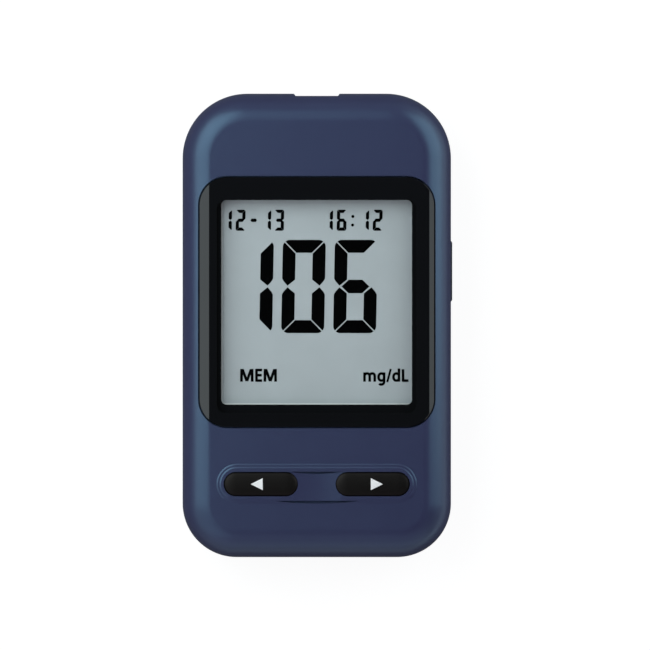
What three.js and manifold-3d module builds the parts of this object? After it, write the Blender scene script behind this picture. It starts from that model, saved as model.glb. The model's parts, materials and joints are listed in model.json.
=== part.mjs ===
// A hand-held blood glucose meter. It lies on its back with the display up: X runs across it,
// Y towards the end that takes the test strip, and Z up out of the display. The origin is the
// middle of the flat back. All sizes are in millimetres.
//
// A front and a rear cover close on a lapped seam, and four screws from the back clamp the
// circuit board between their bosses. The display stands on the board under a crowned window,
// two keys press on tactile switches, two coin cells lie behind a hinged door, and a thumb slide
// in the right-hand side drives a sprung arm that pushes the used test strip out of its port.

import * as THREE from "three";
import { mergeVertices } from "three/addons/utils/BufferGeometryUtils.js";
import Module from "manifold-3d";

const wasm = await Module();
wasm.setup();

// Counts: how many steps each kind of curve takes
const cornerSteps = 9;
const edgeSteps = 8;
const innerEdgeSteps = 4;
const smallCornerSteps = 4;
const endSteps = 10;
const crownSteps = 4;
const bossSides = 20;
const screwSides = 18;
const cellSides = 48;
const coilSteps = 8;
const coilSides = 5;

// One overrun serves every cut and every join that has to reach past a face
const overrun = 1;

// Coin cells and the bay that holds the two side by side; they set the width of the case
const cellDiameter = 20;
const cellThickness = 3.2;
const cellEdge = 0.4;
const cellCapInset = 1.15;
const cellCapStep = 0.3;
const cellSpacing = 0.7;
const bayEndGap = 0.55;
const bayRimGap = 0.4;
const bayToSide = 4;
const bayBottomMargin = 8.6;
const bayWall = 1.2;
const bayCorner = 1.5;
const dividerWidth = 5;

// Case outline
const caseWidth = 2 * (cellDiameter + bayEndGap + bayToSide) + cellSpacing;
const caseHeight = 86;
const topCornerRadius = 12.4;
const bottomCornerRadius = 10.4;
const frontEdgeWidth = 5.3;
const frontEdgeDepth = 6;
const rearEdgeWidth = 3.2;
const rearEdgeDepth = 4.4;
const sideWall = 2;
const rearWall = 1.8;
const seamChamfer = 0.2;
const lipThickness = 0.8;
const lipHeight = 1.2;
const lipGap = 0.12;
const lipBreak = 0.8;

// Layers from the back to the front face
const doorThickness = 1.4;
const doorToCell = 0.2;
const contactSpace = 0.8;
const bayFloor = 1;
const armClearance = 0.5;
const armThickness = 1.2;
const boardClearance = 1.3;
const boardThickness = 1.2;
const displayStandoff = 1.6;
const polarizerThickness = 0.2;
const glassThickness = 0.8;
const displayGap = 0.2;
const windowLedge = 0.8;
const tapeThickness = 0.15;
const windowThickness = 1.25;
const windowProud = 0.2;

// Display window and the display under it
const windowSideMargin = 2.9;
const windowTopMargin = 15.3;
const windowToButtons = 10.35;
const windowCorner = 5.4;
const windowGap = 0.12;
const windowBorderSide = 4.2;
const windowBorderEnd = 4.3;
const openingMargin = 0.4;
const openingCorner = 1.2;
const tapeMargin = 0.3;
const glassMargin = 0.8;
const glassLedge = 2.6;
const polarizerInset = 0.4;
const holderWall = 0.8;
const holderFit = 0.15;
const holderRest = 1.2;
const zebraThickness = 1.6;
const zebraEndMargin = 2;
const zebraFit = 0.3;
const locatorGap = 0.3;
const locatorThickness = 1;
const locatorHeight = 1.5;
const locatorLength = 24;

// Keys and their switches
const buttonWidth = 13.9;
const buttonHeight = 4.56;
const buttonPitch = 20.74;
const buttonRowMargin = 13.6;
const buttonGap = 0.18;
const buttonProud = 0.15;
const buttonFlange = 0.7;
const buttonFlangeThickness = 0.7;
const buttonFlangeGap = 0.3;
const buttonCrownWidth = 1.3;
const buttonCrownDepth = 0.5;
const buttonStemRadius = 1.3;
const padWidth = 36.9;
const padHeight = 7.3;
const padRise = 0.25;
const padSlope = 0.8;
const saddleWidth = 16;
const saddleHeight = 5.6;
const saddleDepth = 0.3;
const saddleDrop = 0.55;
const switchSize = 4.6;
const switchHeight = 1.3;
const switchBoreDepth = 1.1;
const plungerRadius = 1;
const plungerLength = 1.2;
const plungerGap = 0.15;
const plungerProud = 0.6;

// Screws and bosses
const screwSideMargin = 8.6;
const screwTopMargin = 8.7;
const lowerScrewSideMargin = 9.6;
const lowerScrewMargin = 4.7;
const screwRadius = 1;
const screwFit = 0.1;
const screwPoint = 0.6;
const screwHeadRadius = 1.9;
const screwHeadThickness = 1.2;
const screwHeadDepth = 1.2;
const screwHeadRound = 0.5;
const screwHeadFit = 0.2;
const screwToCeiling = 1.4;
const pilotEndGap = 0.4;
const crossWidth = 0.5;
const crossLength = 2.2;
const crossDepth = 0.7;
const frontBossRadius = 2.9;
const rearBossRadius = 2.8;
const bossSideGap = 0.15;

// Circuit board and what it carries
const boardInset = 2.5;
const controllerSize = 10;
const controllerThickness = 1.2;
const controllerX = -7;
const controllerTopMargin = 35;
const crystalLength = 7;
const crystalWidth = 2.6;
const crystalHeight = 1.1;
const crystalGap = 2;
const sounderRadius = 4.5;
const sounderHeight = 2;
const sounderHole = 0.7;
const sounderHoleDepth = 0.8;
const sounderSideMargin = 12.9;
const sounderTopMargin = 19;

// Strip port and connector
const notchWidth = 8.5;
const notchDepth = 0.55;
const notchSlope = 0.35;
const stripSlotWidth = 6.6;
const stripSlotHeight = 1;
const portMargin = 0.3;
const portHeightMargin = 0.25;
const funnelMargin = 0.25;
const funnelDepth = 0.7;
const connectorLength = 9;
const connectorWall = 2.3;
const connectorBase = 1.8;
const connectorGap = 0.4;
const connectorFrontWall = 0.8;
const contactPitch = 2;
const contactWidth = 0.7;
const contactThickness = 0.2;
const contactGrooveGap = 0.1;
const contactTail = 1.2;
const contactRearRun = 2.6;
const contactDipRun = 3;
const contactTipRun = 1.5;
const contactTipRise = 0.6;
const contactStripGap = 0.1;

// Strip ejector: thumb slide, arm and return spring
const sliderLength = 11.7;
const sliderTopMargin = 27.1;
const sliderTravel = 5;
const sliderHeight = 4.4;
const sliderProud = 0.25;
const sliderEndSlope = 0.55;
const sliderEndDrop = 0.35;
const sliderGap = 0.2;
const sliderPocketDepth = 1.1;
const sliderFloorGap = 0.15;
const neckLength = 3.2;
const neckHeight = 2.2;
const neckReach = 1.7;
const neckFit = 0.1;
const neckRunGap = 0.25;
const armSideGap = 0.3;
const armWidth = 3.7;
const armTail = 5.4;
const armCorner = 1.2;
const armCrossWidth = 3.5;
const armCrossReach = 3.2;
const blockWall = 0.7;
const blockDepth = 2.4;
const pusherWidth = 5.2;
const pusherThickness = 0.5;
const pusherLength = 6;
const pusherRestGap = 0.6;
const slideGap = 0.1;
const springRadius = 1.6;
const springWire = 0.4;
const springTurns = 9;
const springGap = 0.1;
const springInset = 9.3;
const springDrop = 2.1;
const pegRadius = 0.9;
const pegLength = 2;
const lugWidth = 3;
const lugThickness = 1.4;
const lugOffset = 0.4;
const postOffset = 15;
const postThickness = 1.6;
const railThickness = 1;
const railGap = 0.3;
const railSeat = 1.2;
const railEndGap = 0.8;
const crossRailPitch = 7;
const connectorRibPitch = 8;
const connectorRibThickness = 1;
const connectorRibMargin = 1.5;

// Battery door
const doorGap = 0.2;
const doorCorner = 1.4;
const doorLedge = 1.2;
const doorSeatGap = 0.1;
const doorEdgeChamfer = 0.25;
const hookPitch = 10;
const hookWidth = 4;
const hookThickness = 0.8;
const hookReach = 1.4;
const hookRoot = 0.6;
const hookLift = 0.1;
const hookHeadroom = 0.6;
const hookFit = 0.25;
const latchWidth = 8;
const latchSlit = 0.6;
const latchLength = 6;
const latchThickness = 0.9;
const latchHeight = 2.2;
const latchSetBack = 0.3;
const latchFit = 0.4;
const scoopRadius = 4.4;
const scoopFloorRadius = 3.2;
const scoopDepth = 0.9;
const doorGripCount = 4;
const doorGripPitch = 1.6;
const doorGripWidth = 0.7;
const doorGripDepth = 0.35;
const doorGripLength = 10;
const doorGripMargin = 8.2;

// Battery contacts
const leafThickness = 0.2;
const leafWidth = 4;
const leafFit = 0.3;
const leafSeatGap = 0.05;
const negativeTailMargin = 0.9;
const negativeTouchGap = 0.1;
const negativeSeatRun = 3;
const negativeTipRun = 3;
const negativeTipRise = 0.35;
const positiveTouchGap = 0.08;
const positiveFootGap = 0.4;

// Heights that the layers add up to
const cellBottom = doorThickness + doorToCell;
const cellTop = cellBottom + cellThickness;
const bayCeiling = cellTop + contactSpace;
const bayTop = bayCeiling + bayFloor;
const armBottom = bayTop + armClearance;
const armTop = armBottom + armThickness;
const boardBottom = armTop + boardClearance;
const boardTop = boardBottom + boardThickness;
const displayBottom = boardTop + displayStandoff;
const rearGlassBottom = displayBottom + polarizerThickness;
const frontGlassBottom = rearGlassBottom + glassThickness;
const frontGlassTop = frontGlassBottom + glassThickness;
const displayTop = frontGlassTop + polarizerThickness;
const frontCeiling = displayTop + displayGap;
const pocketFloor = frontCeiling + windowLedge;
const windowBottom = pocketFloor + tapeThickness;
const faceHeight = windowBottom + windowThickness;
const padTop = faceHeight + padRise;
const slotBottom = armBottom - slideGap;
const slotTop = slotBottom + stripSlotHeight;
const seamHeight = (slotBottom + slotTop) / 2;
const screwHeadTop = screwHeadDepth + screwHeadThickness;
const screwTop = frontCeiling - screwToCeiling;
const switchTop = boardTop + switchHeight;
const plungerTop = switchTop + plungerProud;

// Places in the plan
const halfWidth = caseWidth / 2;
const halfHeight = caseHeight / 2;
const buttonY = -halfHeight + buttonRowMargin;
const buttonXs = { left: -buttonPitch / 2, right: buttonPitch / 2 };
const windowHalfWidth = halfWidth - windowSideMargin;
const windowTopY = halfHeight - windowTopMargin;
const windowBottomY = buttonY + windowToButtons;
const viewHalfWidth = windowHalfWidth - windowBorderSide;
const viewTopY = windowTopY - windowBorderEnd;
const viewBottomY = windowBottomY + windowBorderEnd;
const cellReach = (cellDiameter + cellSpacing) / 2;
const cellXs = { left: -cellReach, right: cellReach };
const bayHalfWidth = cellReach + cellDiameter / 2 + bayEndGap;
const bayBottomY = -halfHeight + bayBottomMargin;
const bayTopY = bayBottomY + cellDiameter + 2 * bayRimGap;
const cellY = (bayBottomY + bayTopY) / 2;
const doorHalfWidth = bayHalfWidth - doorGap;
const doorBottomY = bayBottomY - doorLedge;
const doorTopY = bayTopY + doorLedge;
const latchOuterY = doorTopY - latchSetBack;
const negativeTailY = bayTopY - negativeTailMargin;
const positiveLeafX = cellReach + cellDiameter / 2 + positiveTouchGap + leafThickness / 2;
const connectorFront = halfHeight - sideWall - connectorGap;
const connectorBack = connectorFront - connectorLength;
const contactXs = [-contactPitch, 0, contactPitch];
const controllerY = halfHeight - controllerTopMargin;
const sounderX = sounderSideMargin - halfWidth;
const sounderY = halfHeight - sounderTopMargin;
const sliderY = halfHeight - sliderTopMargin - sliderLength / 2;
const sliderInner = halfWidth - sliderPocketDepth + sliderFloorGap;
const armOuter = halfWidth - sideWall - armSideGap;
const armInner = armOuter - armWidth;
const armBottomY = sliderY - armTail;
const armTopY = connectorBack - pusherRestGap - pusherLength;
const armCrossY = armTopY - armCrossWidth;
const springX = halfWidth - springInset;
const springZ = armBottom - springDrop;
const lugY = armBottomY + lugOffset;
const springStart = lugY + lugThickness + springGap;
const postY = lugY + postOffset;
const springEnd = postY - springGap;
const zebraReach = glassMargin + glassLedge / 2;
const zebraYs = { top: viewTopY + zebraReach, bottom: viewBottomY - zebraReach };
const screwPlaces = [
  [screwSideMargin - halfWidth, halfHeight - screwTopMargin],
  [halfWidth - screwSideMargin, halfHeight - screwTopMargin],
  [lowerScrewSideMargin - halfWidth, lowerScrewMargin - halfHeight],
  [halfWidth - lowerScrewSideMargin, lowerScrewMargin - halfHeight],
];

// Turns a closed geometry into a solid that can be cut and joined
function solidOf(geometry) {
  for (const name of ["normal", "uv"]) geometry.deleteAttribute(name);
  const welded = mergeVertices(geometry);
  return new wasm.Manifold(
    new wasm.Mesh({
      numProp: 3,
      vertProperties: welded.attributes.position.array,
      triVerts: new Uint32Array(welded.index.array),
    }),
  );
}

// Turns a solid back into a geometry
function geometryOf(solid) {
  const mesh = solid.getMesh();
  const geometry = new THREE.BufferGeometry();
  geometry.setAttribute("position", new THREE.BufferAttribute(mesh.vertProperties, mesh.numProp));
  geometry.setIndex(new THREE.BufferAttribute(mesh.triVerts, 1));
  geometry.computeVertexNormals();
  return geometry;
}

function joined(...solids) {
  return solids.reduce((whole, next) => whole.add(next));
}

function cut(solid, ...cutters) {
  return cutters.reduce((rest, cutter) => rest.subtract(cutter), solid);
}

// Points of a rectangle with rounded corners, anticlockwise from its bottom right corner
function roundedPoints(left, right, bottom, top, bottomRadius, topRadius, steps) {
  const corners = [
    [right - bottomRadius, bottom + bottomRadius, bottomRadius],
    [right - topRadius, top - topRadius, topRadius],
    [left + topRadius, top - topRadius, topRadius],
    [left + bottomRadius, bottom + bottomRadius, bottomRadius],
  ];
  return corners.flatMap(([x, y, radius], corner) =>
    Array.from({ length: steps + 1 }, (_, i) => {
      const angle = (Math.PI / 2) * (corner - 1 + i / steps);
      return new THREE.Vector2(x + radius * Math.cos(angle), y + radius * Math.sin(angle));
    }),
  );
}

// Points of a bar with full round ends, lying along X about a centre
function stadiumPoints(x, y, width, height, steps) {
  const radius = height / 2;
  const reach = width / 2 - radius;
  return [0, 1].flatMap((end) =>
    Array.from({ length: steps + 1 }, (_, i) => {
      const angle = Math.PI * (end - 1 / 2 + i / steps);
      return new THREE.Vector2(
        x + reach * (1 - 2 * end) + radius * Math.cos(angle),
        y + radius * Math.sin(angle),
      );
    }),
  );
}

function circlePoints(x, y, radius, sides) {
  return Array.from({ length: sides }, (_, i) => {
    const angle = 2 * Math.PI * (i / sides);
    return new THREE.Vector2(x + radius * Math.cos(angle), y + radius * Math.sin(angle));
  });
}

// Joins rings of equally many points, each at its own height, into one closed geometry
function loftGeometry(rings) {
  const count = rings[0].points.length;
  const last = (rings.length - 1) * count;
  const positions = rings.flatMap(({ points, z }) => points.flatMap((p) => [p.x, p.y, z]));
  const faces = [];
  for (let start = 0; start < last; start += count) {
    for (let i = 0; i < count; i++) {
      const next = (i + 1) % count;
      const [a, b, c, d] = [start + i, start + next, start + count + next, start + count + i];
      faces.push(a, b, c, a, c, d);
    }
  }
  for (const [a, b, c] of THREE.ShapeUtils.triangulateShape(rings[0].points, [])) {
    faces.push(a, c, b);
  }
  for (const [a, b, c] of THREE.ShapeUtils.triangulateShape(rings.at(-1).points, [])) {
    faces.push(last + a, last + b, last + c);
  }
  const geometry = new THREE.BufferGeometry();
  geometry.setAttribute("position", new THREE.Float32BufferAttribute(positions, 3));
  geometry.setIndex(faces);
  return geometry;
}

function loft(rings) {
  return solidOf(loftGeometry(rings));
}

// A loft that runs along Y instead: its rings are drawn in X and Z, the furthest ring first
function loftAlongY(rings) {
  const upright = rings.map(({ points, y }) => ({ points, z: -y }));
  return solidOf(loftGeometry(upright).rotateX(Math.PI / 2));
}

// A body turned about an upright axis, from its radii at rising heights
function turned(x, y, levels, sides) {
  return loft(levels.map(([radius, z]) => ({ points: circlePoints(x, y, radius, sides), z })));
}

// A straight body over an outline, between two heights
function prism(points, low, high) {
  const shape = new THREE.Shape(points);
  const geometry = new THREE.ExtrudeGeometry(shape, { depth: high - low, bevelEnabled: false });
  return solidOf(geometry.translate(0, 0, low));
}

// A straight body that runs along X, over an outline in Y and Z
function prismAlongX(points, low, high) {
  const turn = new THREE.Matrix4().makeBasis(
    new THREE.Vector3(0, 1, 0),
    new THREE.Vector3(0, 0, 1),
    new THREE.Vector3(1, 0, 0),
  );
  const shape = new THREE.Shape(points);
  const geometry = new THREE.ExtrudeGeometry(shape, { depth: high - low, bevelEnabled: false });
  return solidOf(geometry.applyMatrix4(turn).translate(low, 0, 0));
}

function box(left, right, front, back, low, high) {
  const geometry = new THREE.BoxGeometry(right - left, back - front, high - low);
  return solidOf(geometry.translate((left + right) / 2, (front + back) / 2, (low + high) / 2));
}

function cylinder(x, y, radius, low, high, sides = bossSides) {
  return prism(circlePoints(x, y, radius, sides), low, high);
}

// A round peg that lies along Y
function pegAlongY(x, z, radius, front, back) {
  const points = circlePoints(x, z, radius, bossSides);
  return loftAlongY([
    { points, y: back },
    { points, y: front },
  ]);
}

// The outline of a bent metal leaf of even thickness along a line of points
function leafPoints(line, thickness) {
  const points = line.map(([x, y]) => new THREE.Vector2(x, y));
  const normals = points.slice(1).map((p, i) => {
    const along = p.clone().sub(points[i]).normalize();
    return new THREE.Vector2(-along.y, along.x);
  });
  const mitres = points.map((_, i) => {
    const before = normals[Math.max(i - 1, 0)];
    const after = normals[Math.min(i, normals.length - 1)];
    const middle = before.clone().add(after).normalize();
    return middle.multiplyScalar(thickness / 2 / middle.dot(after));
  });
  const one = points.map((p, i) => p.clone().sub(mitres[i]));
  const other = points.map((p, i) => p.clone().add(mitres[i]));
  return [...one, ...other.reverse()];
}

// The case's outline at a height, drawn in from the widest outline by an inset
function caseRing({ inset, z }) {
  const points = roundedPoints(
    inset - halfWidth,
    halfWidth - inset,
    inset - halfHeight,
    halfHeight - inset,
    bottomCornerRadius - inset,
    topCornerRadius - inset,
    cornerSteps,
  );
  return { points, z };
}

// Levels of a rounded edge, a quarter of an ellipse, from the side to the face
function edgeLevels(sideInset, sideZ, faceInset, faceZ, steps) {
  return Array.from({ length: steps + 1 }, (_, i) => {
    const angle = (Math.PI / 2) * (i / steps);
    return {
      inset: sideInset + (faceInset - sideInset) * (1 - Math.cos(angle)),
      z: sideZ + (faceZ - sideZ) * Math.sin(angle),
    };
  });
}

// A straight-sided body on the case's outline
function caseSlab(inset, low, high) {
  return loft([caseRing({ inset, z: low }), caseRing({ inset, z: high })]);
}

// The outer form of the front, which the window repeats a little higher
function frontForm(raise) {
  const sideTop = faceHeight - frontEdgeDepth + raise;
  return loft(
    [
      { inset: seamChamfer, z: seamHeight },
      { inset: 0, z: seamHeight + seamChamfer },
      ...edgeLevels(0, sideTop, frontEdgeWidth, faceHeight + raise, edgeSteps),
    ].map(caseRing),
  );
}

function frontHollow() {
  const sideTop = faceHeight - frontEdgeDepth;
  return loft(
    [
      { inset: sideWall, z: seamHeight - overrun },
      ...edgeLevels(sideWall, sideTop, frontEdgeWidth, frontCeiling, innerEdgeSteps),
    ].map(caseRing),
  );
}

function rearForm() {
  return loft(
    [
      ...edgeLevels(0, rearEdgeDepth, rearEdgeWidth, 0, edgeSteps).reverse(),
      { inset: 0, z: seamHeight - seamChamfer },
      { inset: seamChamfer, z: seamHeight },
    ].map(caseRing),
  );
}

function rearHollow() {
  return loft(
    [
      ...edgeLevels(sideWall, rearEdgeDepth, rearEdgeWidth, rearWall, innerEdgeSteps).reverse(),
      { inset: sideWall, z: seamHeight + overrun },
    ].map(caseRing),
  );
}

// Window outline, drawn in by an inset
function windowPoints(inset) {
  return roundedPoints(
    inset - windowHalfWidth,
    windowHalfWidth - inset,
    windowBottomY + inset,
    windowTopY - inset,
    windowCorner - inset,
    windowCorner - inset,
    cornerSteps,
  );
}

// Outline of the opening that the display is read through
function openingPoints() {
  return roundedPoints(
    -viewHalfWidth - openingMargin,
    viewHalfWidth + openingMargin,
    viewBottomY - openingMargin,
    viewTopY + openingMargin,
    openingCorner,
    openingCorner,
    smallCornerSteps,
  );
}

// Outline of a key, grown all round
function buttonPoints(x, grow) {
  return stadiumPoints(x, buttonY, buttonWidth + 2 * grow, buttonHeight + 2 * grow, endSteps);
}

// The low round-ended pad that frames both keys, its rim rounded down to the face
function keyPad() {
  const rim = edgeLevels(0, faceHeight, padSlope, padTop, crownSteps);
  return loft(
    [{ inset: 0, z: pocketFloor }, ...rim].map(({ inset, z }) => ({
      points: stadiumPoints(0, buttonY, padWidth - 2 * inset, padHeight - 2 * inset, endSteps),
      z,
    })),
  );
}

// The shallow saddle across the pad, deepest between the keys
function padSaddle() {
  const middle = buttonY - saddleDrop;
  const arc = Array.from({ length: endSteps + 1 }, (_, i) => {
    const share = (2 * i) / endSteps - 1;
    return new THREE.Vector2((share * saddleWidth) / 2, padTop - saddleDepth * (1 - share ** 2));
  });
  const points = [
    ...arc,
    new THREE.Vector2(saddleWidth / 2, padTop + overrun),
    new THREE.Vector2(-saddleWidth / 2, padTop + overrun),
  ];
  return loftAlongY([
    { points, y: middle + saddleHeight / 2 },
    { points, y: middle - saddleHeight / 2 },
  ]);
}

// The strip port: a notch across the end face, a funnel in it and the slot behind
function stripPort() {
  const end = halfHeight + overrun;
  const floor = halfHeight - notchDepth;
  const flare = (notchSlope / notchDepth) * (end - floor);
  const narrow = notchWidth / 2 - notchSlope;
  const notch = prism(
    [
      new THREE.Vector2(narrow, floor),
      new THREE.Vector2(narrow + flare, end),
      new THREE.Vector2(-narrow - flare, end),
      new THREE.Vector2(-narrow, floor),
    ],
    -overrun,
    faceHeight + overrun,
  );
  const mouth = (grow) => {
    const width = stripSlotWidth + 2 * (portMargin + grow);
    const height = stripSlotHeight + 2 * (portHeightMargin + grow);
    return stadiumPoints(0, seamHeight, width, height, smallCornerSteps);
  };
  const slot = loftAlongY([
    { points: mouth(funnelMargin), y: end },
    { points: mouth(funnelMargin), y: floor },
    { points: mouth(0), y: floor - funnelDepth },
    { points: mouth(0), y: halfHeight - sideWall - overrun },
  ]);
  return joined(notch, slot);
}

// The pocket for the thumb slide in the side wall, and the slot that its neck runs in
function sliderPocket() {
  const halfLength = sliderLength / 2 + sliderGap;
  const halfPocket = sliderHeight / 2 + sliderGap;
  const halfNeck = neckLength / 2 + neckRunGap;
  const neckZ = neckHeight / 2 + neckFit;
  const pocketX = halfWidth - sliderPocketDepth;
  const pocket = box(
    pocketX,
    halfWidth + overrun,
    sliderY - halfLength,
    sliderY + halfLength + sliderTravel,
    seamHeight - halfPocket,
    seamHeight + halfPocket,
  );
  const neckSlot = box(
    halfWidth - sideWall - overrun,
    pocketX + overrun,
    sliderY - halfNeck,
    sliderY + halfNeck + sliderTravel,
    seamHeight - neckZ,
    seamHeight + neckZ,
  );
  return joined(pocket, neckSlot);
}

// Stretches of the seam without a lip: beside the thumb slide and at the strip port
function lipBreaks(grow) {
  const inner = sideWall + overrun;
  const low = seamHeight - 2 * overrun;
  const high = seamHeight + lipHeight + overrun;
  const besideSlide = sliderLength / 2 + lipBreak + grow;
  const besidePort = stripSlotWidth / 2 + portMargin + lipBreak + grow;
  return [
    box(
      halfWidth - inner,
      halfWidth + overrun,
      sliderY - besideSlide,
      sliderY + besideSlide + sliderTravel,
      low,
      high,
    ),
    box(-besidePort, besidePort, halfHeight - inner, halfHeight + overrun, low, high),
  ];
}

// The space that the seam's lip fills, grown by a gap for the recess that takes it
function seamLip(gap) {
  const outer = sideWall - lipThickness - gap;
  return cut(
    caseSlab(outer, seamHeight - overrun, seamHeight + lipHeight + gap),
    ...lipBreaks(lipGap - gap),
  );
}

// Ribs inside the front that keep the display holder in its place
function holderLocators() {
  const reach = holderFit + holderWall + glassLedge + glassMargin + locatorGap;
  const half = locatorLength / 2;
  const low = frontCeiling - locatorHeight;
  const high = frontCeiling + windowLedge / 2;
  const bottom = viewBottomY - reach;
  const top = viewTopY + reach;
  return [
    box(-half, half, bottom - locatorThickness, bottom, low, high),
    box(-half, half, top, top + locatorThickness, low, high),
  ];
}

function frontCover() {
  const form = frontForm(0);
  const inside = joined(
    cut(form, frontHollow()),
    keyPad(),
    ...holderLocators(),
    ...screwPlaces.map(([x, y]) =>
      cylinder(x, y, frontBossRadius, boardTop, frontCeiling + overrun).intersect(form),
    ),
  );
  return cut(
    inside,
    prism(windowPoints(0), pocketFloor, faceHeight + overrun),
    prism(openingPoints(), frontCeiling - overrun, pocketFloor + overrun),
    padSaddle(),
    ...Object.values(buttonXs).map((x) =>
      prism(buttonPoints(x, buttonGap), frontCeiling - overrun, padTop + overrun),
    ),
    seamLip(lipGap),
    stripPort(),
    sliderPocket(),
    ...screwPlaces.map(([x, y]) =>
      cylinder(x, y, screwRadius + screwFit, boardTop - overrun, screwTop + pilotEndGap),
    ),
  );
}

// A rectangle about the battery bay, grown all round
function bayPoints(grow) {
  return roundedPoints(
    -bayHalfWidth - grow,
    bayHalfWidth + grow,
    bayBottomY - grow,
    bayTopY + grow,
    bayCorner,
    bayCorner,
    smallCornerSteps,
  );
}

// The hollow of the battery bay, with a divider left standing between the round cells
function bayHollow() {
  const halfDivider = dividerWidth / 2;
  const divider = cut(
    box(-halfDivider, halfDivider, bayBottomY, bayTopY, cellBottom, bayTop),
    ...Object.values(cellXs).map((x) =>
      cylinder(x, cellY, cellDiameter / 2 + bayRimGap, 0, bayTop, cellSides),
    ),
  );
  return cut(prism(bayPoints(0), -overrun, bayCeiling), divider);
}

// Rails that carry the ejector arm, and the post that its return spring pushes against
function ejectorGuides() {
  const floor = rearWall / 2;
  const front = lugY + lugThickness + sliderTravel + railEndGap;
  const back = armCrossY - armCorner - railEndGap;
  const outer = armInner - railGap;
  const halfPost = lugWidth / 2;
  const crossBack = armTopY + sliderTravel;
  return [
    box(outer - railThickness, outer, front, back, floor, armTop),
    box(outer - railThickness, outer + railSeat, front, back, floor, slotBottom),
    box(springX - halfPost, springX + halfPost, postY, postY + postThickness, floor, slotBottom),
    pegAlongY(springX, springZ, pegRadius, postY - pegLength, postY + postThickness / 2),
    ...[0, crossRailPitch].map((x) =>
      box(x, x + railThickness, armCrossY, crossBack, floor, slotBottom),
    ),
  ];
}

// Ribs under the strip connector
function connectorRibs() {
  const half = connectorRibThickness / 2;
  const front = connectorBack + connectorRibMargin;
  const back = connectorFront - connectorRibMargin;
  return [-1, 1].map((side) => {
    const x = (side * connectorRibPitch) / 2;
    return box(x - half, x + half, front, back, rearWall / 2, slotBottom - connectorBase);
  });
}

// A boss from the back that carries the board, kept clear of the front cover's wall
function rearBoss([x, y]) {
  const foot = cylinder(x, y, rearBossRadius, 0, seamHeight).intersect(rearForm());
  const column = cylinder(x, y, rearBossRadius, rearEdgeDepth, boardBottom);
  return joined(foot, column.intersect(caseSlab(sideWall + bossSideGap, 0, faceHeight)));
}

// The opening for the door, with the slots for its hooks and latch and a finger scoop
function doorCuts() {
  const hookTop = doorThickness + hookLift + hookThickness + hookHeadroom;
  const hookOuter = doorBottomY - hookReach - hookFit;
  const halfHook = hookWidth / 2 + hookFit;
  const halfLatch = latchWidth / 2 + latchFit;
  const seat = roundedPoints(
    -bayHalfWidth,
    bayHalfWidth,
    doorBottomY - doorGap,
    doorTopY + doorGap,
    doorCorner,
    doorCorner,
    smallCornerSteps,
  );
  const scoopFlare = (scoopRadius - scoopFloorRadius) / scoopDepth;
  return [
    prism(seat, -overrun, doorThickness + doorSeatGap),
    ...[-1, 1].map((side) => {
      const x = (side * hookPitch) / 2;
      const inner = bayBottomY + overrun;
      return box(x - halfHook, x + halfHook, hookOuter, inner, doorThickness, hookTop);
    }),
    box(
      -halfLatch,
      halfLatch,
      latchOuterY - latchThickness - latchFit,
      latchOuterY + latchFit,
      doorThickness,
      doorThickness + latchHeight + latchFit,
    ),
    turned(
      0,
      doorTopY,
      [
        [scoopRadius + scoopFlare * overrun, -overrun],
        [scoopFloorRadius, scoopDepth],
      ],
      cellSides,
    ),
  ];
}

// Slots in the roof of the bay for the tails of a cell's two contacts
function contactSlots(x) {
  const side = Math.sign(x);
  const halfLeaf = leafWidth / 2 + leafFit;
  const halfGap = leafThickness / 2 + leafFit;
  const low = bayCeiling - overrun;
  const high = bayTop + overrun;
  const [left, right] = [side * (positiveLeafX - halfGap), side * bayHalfWidth].sort(
    (one, other) => one - other,
  );
  return [
    box(x - halfLeaf, x + halfLeaf, negativeTailY - halfGap, negativeTailY + halfGap, low, high),
    box(left, right, cellY - halfLeaf, cellY + halfLeaf, low, high),
  ];
}

function rearCover() {
  const form = rearForm();
  const inside = joined(
    cut(form, rearHollow()),
    cut(seamLip(0), caseSlab(sideWall, 0, faceHeight)),
    prism(bayPoints(bayWall), 0, bayTop).intersect(form),
    ...screwPlaces.map(rearBoss),
    ...ejectorGuides(),
    ...connectorRibs(),
  );
  return cut(
    inside,
    bayHollow(),
    ...doorCuts(),
    ...Object.values(cellXs).flatMap(contactSlots),
    stripPort(),
    sliderPocket(),
    ...screwPlaces.flatMap(([x, y]) => [
      cylinder(x, y, screwHeadRadius + screwHeadFit, -overrun, screwHeadTop),
      cylinder(x, y, screwRadius + screwFit, 0, boardBottom + overrun),
    ]),
  );
}

function displayWindow() {
  const top = faceHeight + windowProud + overrun;
  return prism(windowPoints(windowGap), windowBottom, top).intersect(frontForm(windowProud));
}

function windowTape() {
  return cut(
    prism(windowPoints(windowGap + tapeMargin), pocketFloor, windowBottom),
    prism(openingPoints(), pocketFloor - overrun, windowBottom + overrun),
  );
}

// A plate of the display that reaches past the picture at its sides and its ends
function displayPlate(sideReach, endReach, low, high) {
  return box(
    -viewHalfWidth - sideReach,
    viewHalfWidth + sideReach,
    viewBottomY - endReach,
    viewTopY + endReach,
    low,
    high,
  );
}

// A rubber contact strip between the board and the overhang of the front glass
function zebraStrip(y) {
  const half = viewHalfWidth + glassMargin - zebraEndMargin;
  const thick = zebraThickness / 2;
  return box(-half, half, y - thick, y + thick, boardTop, frontGlassBottom);
}

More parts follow.
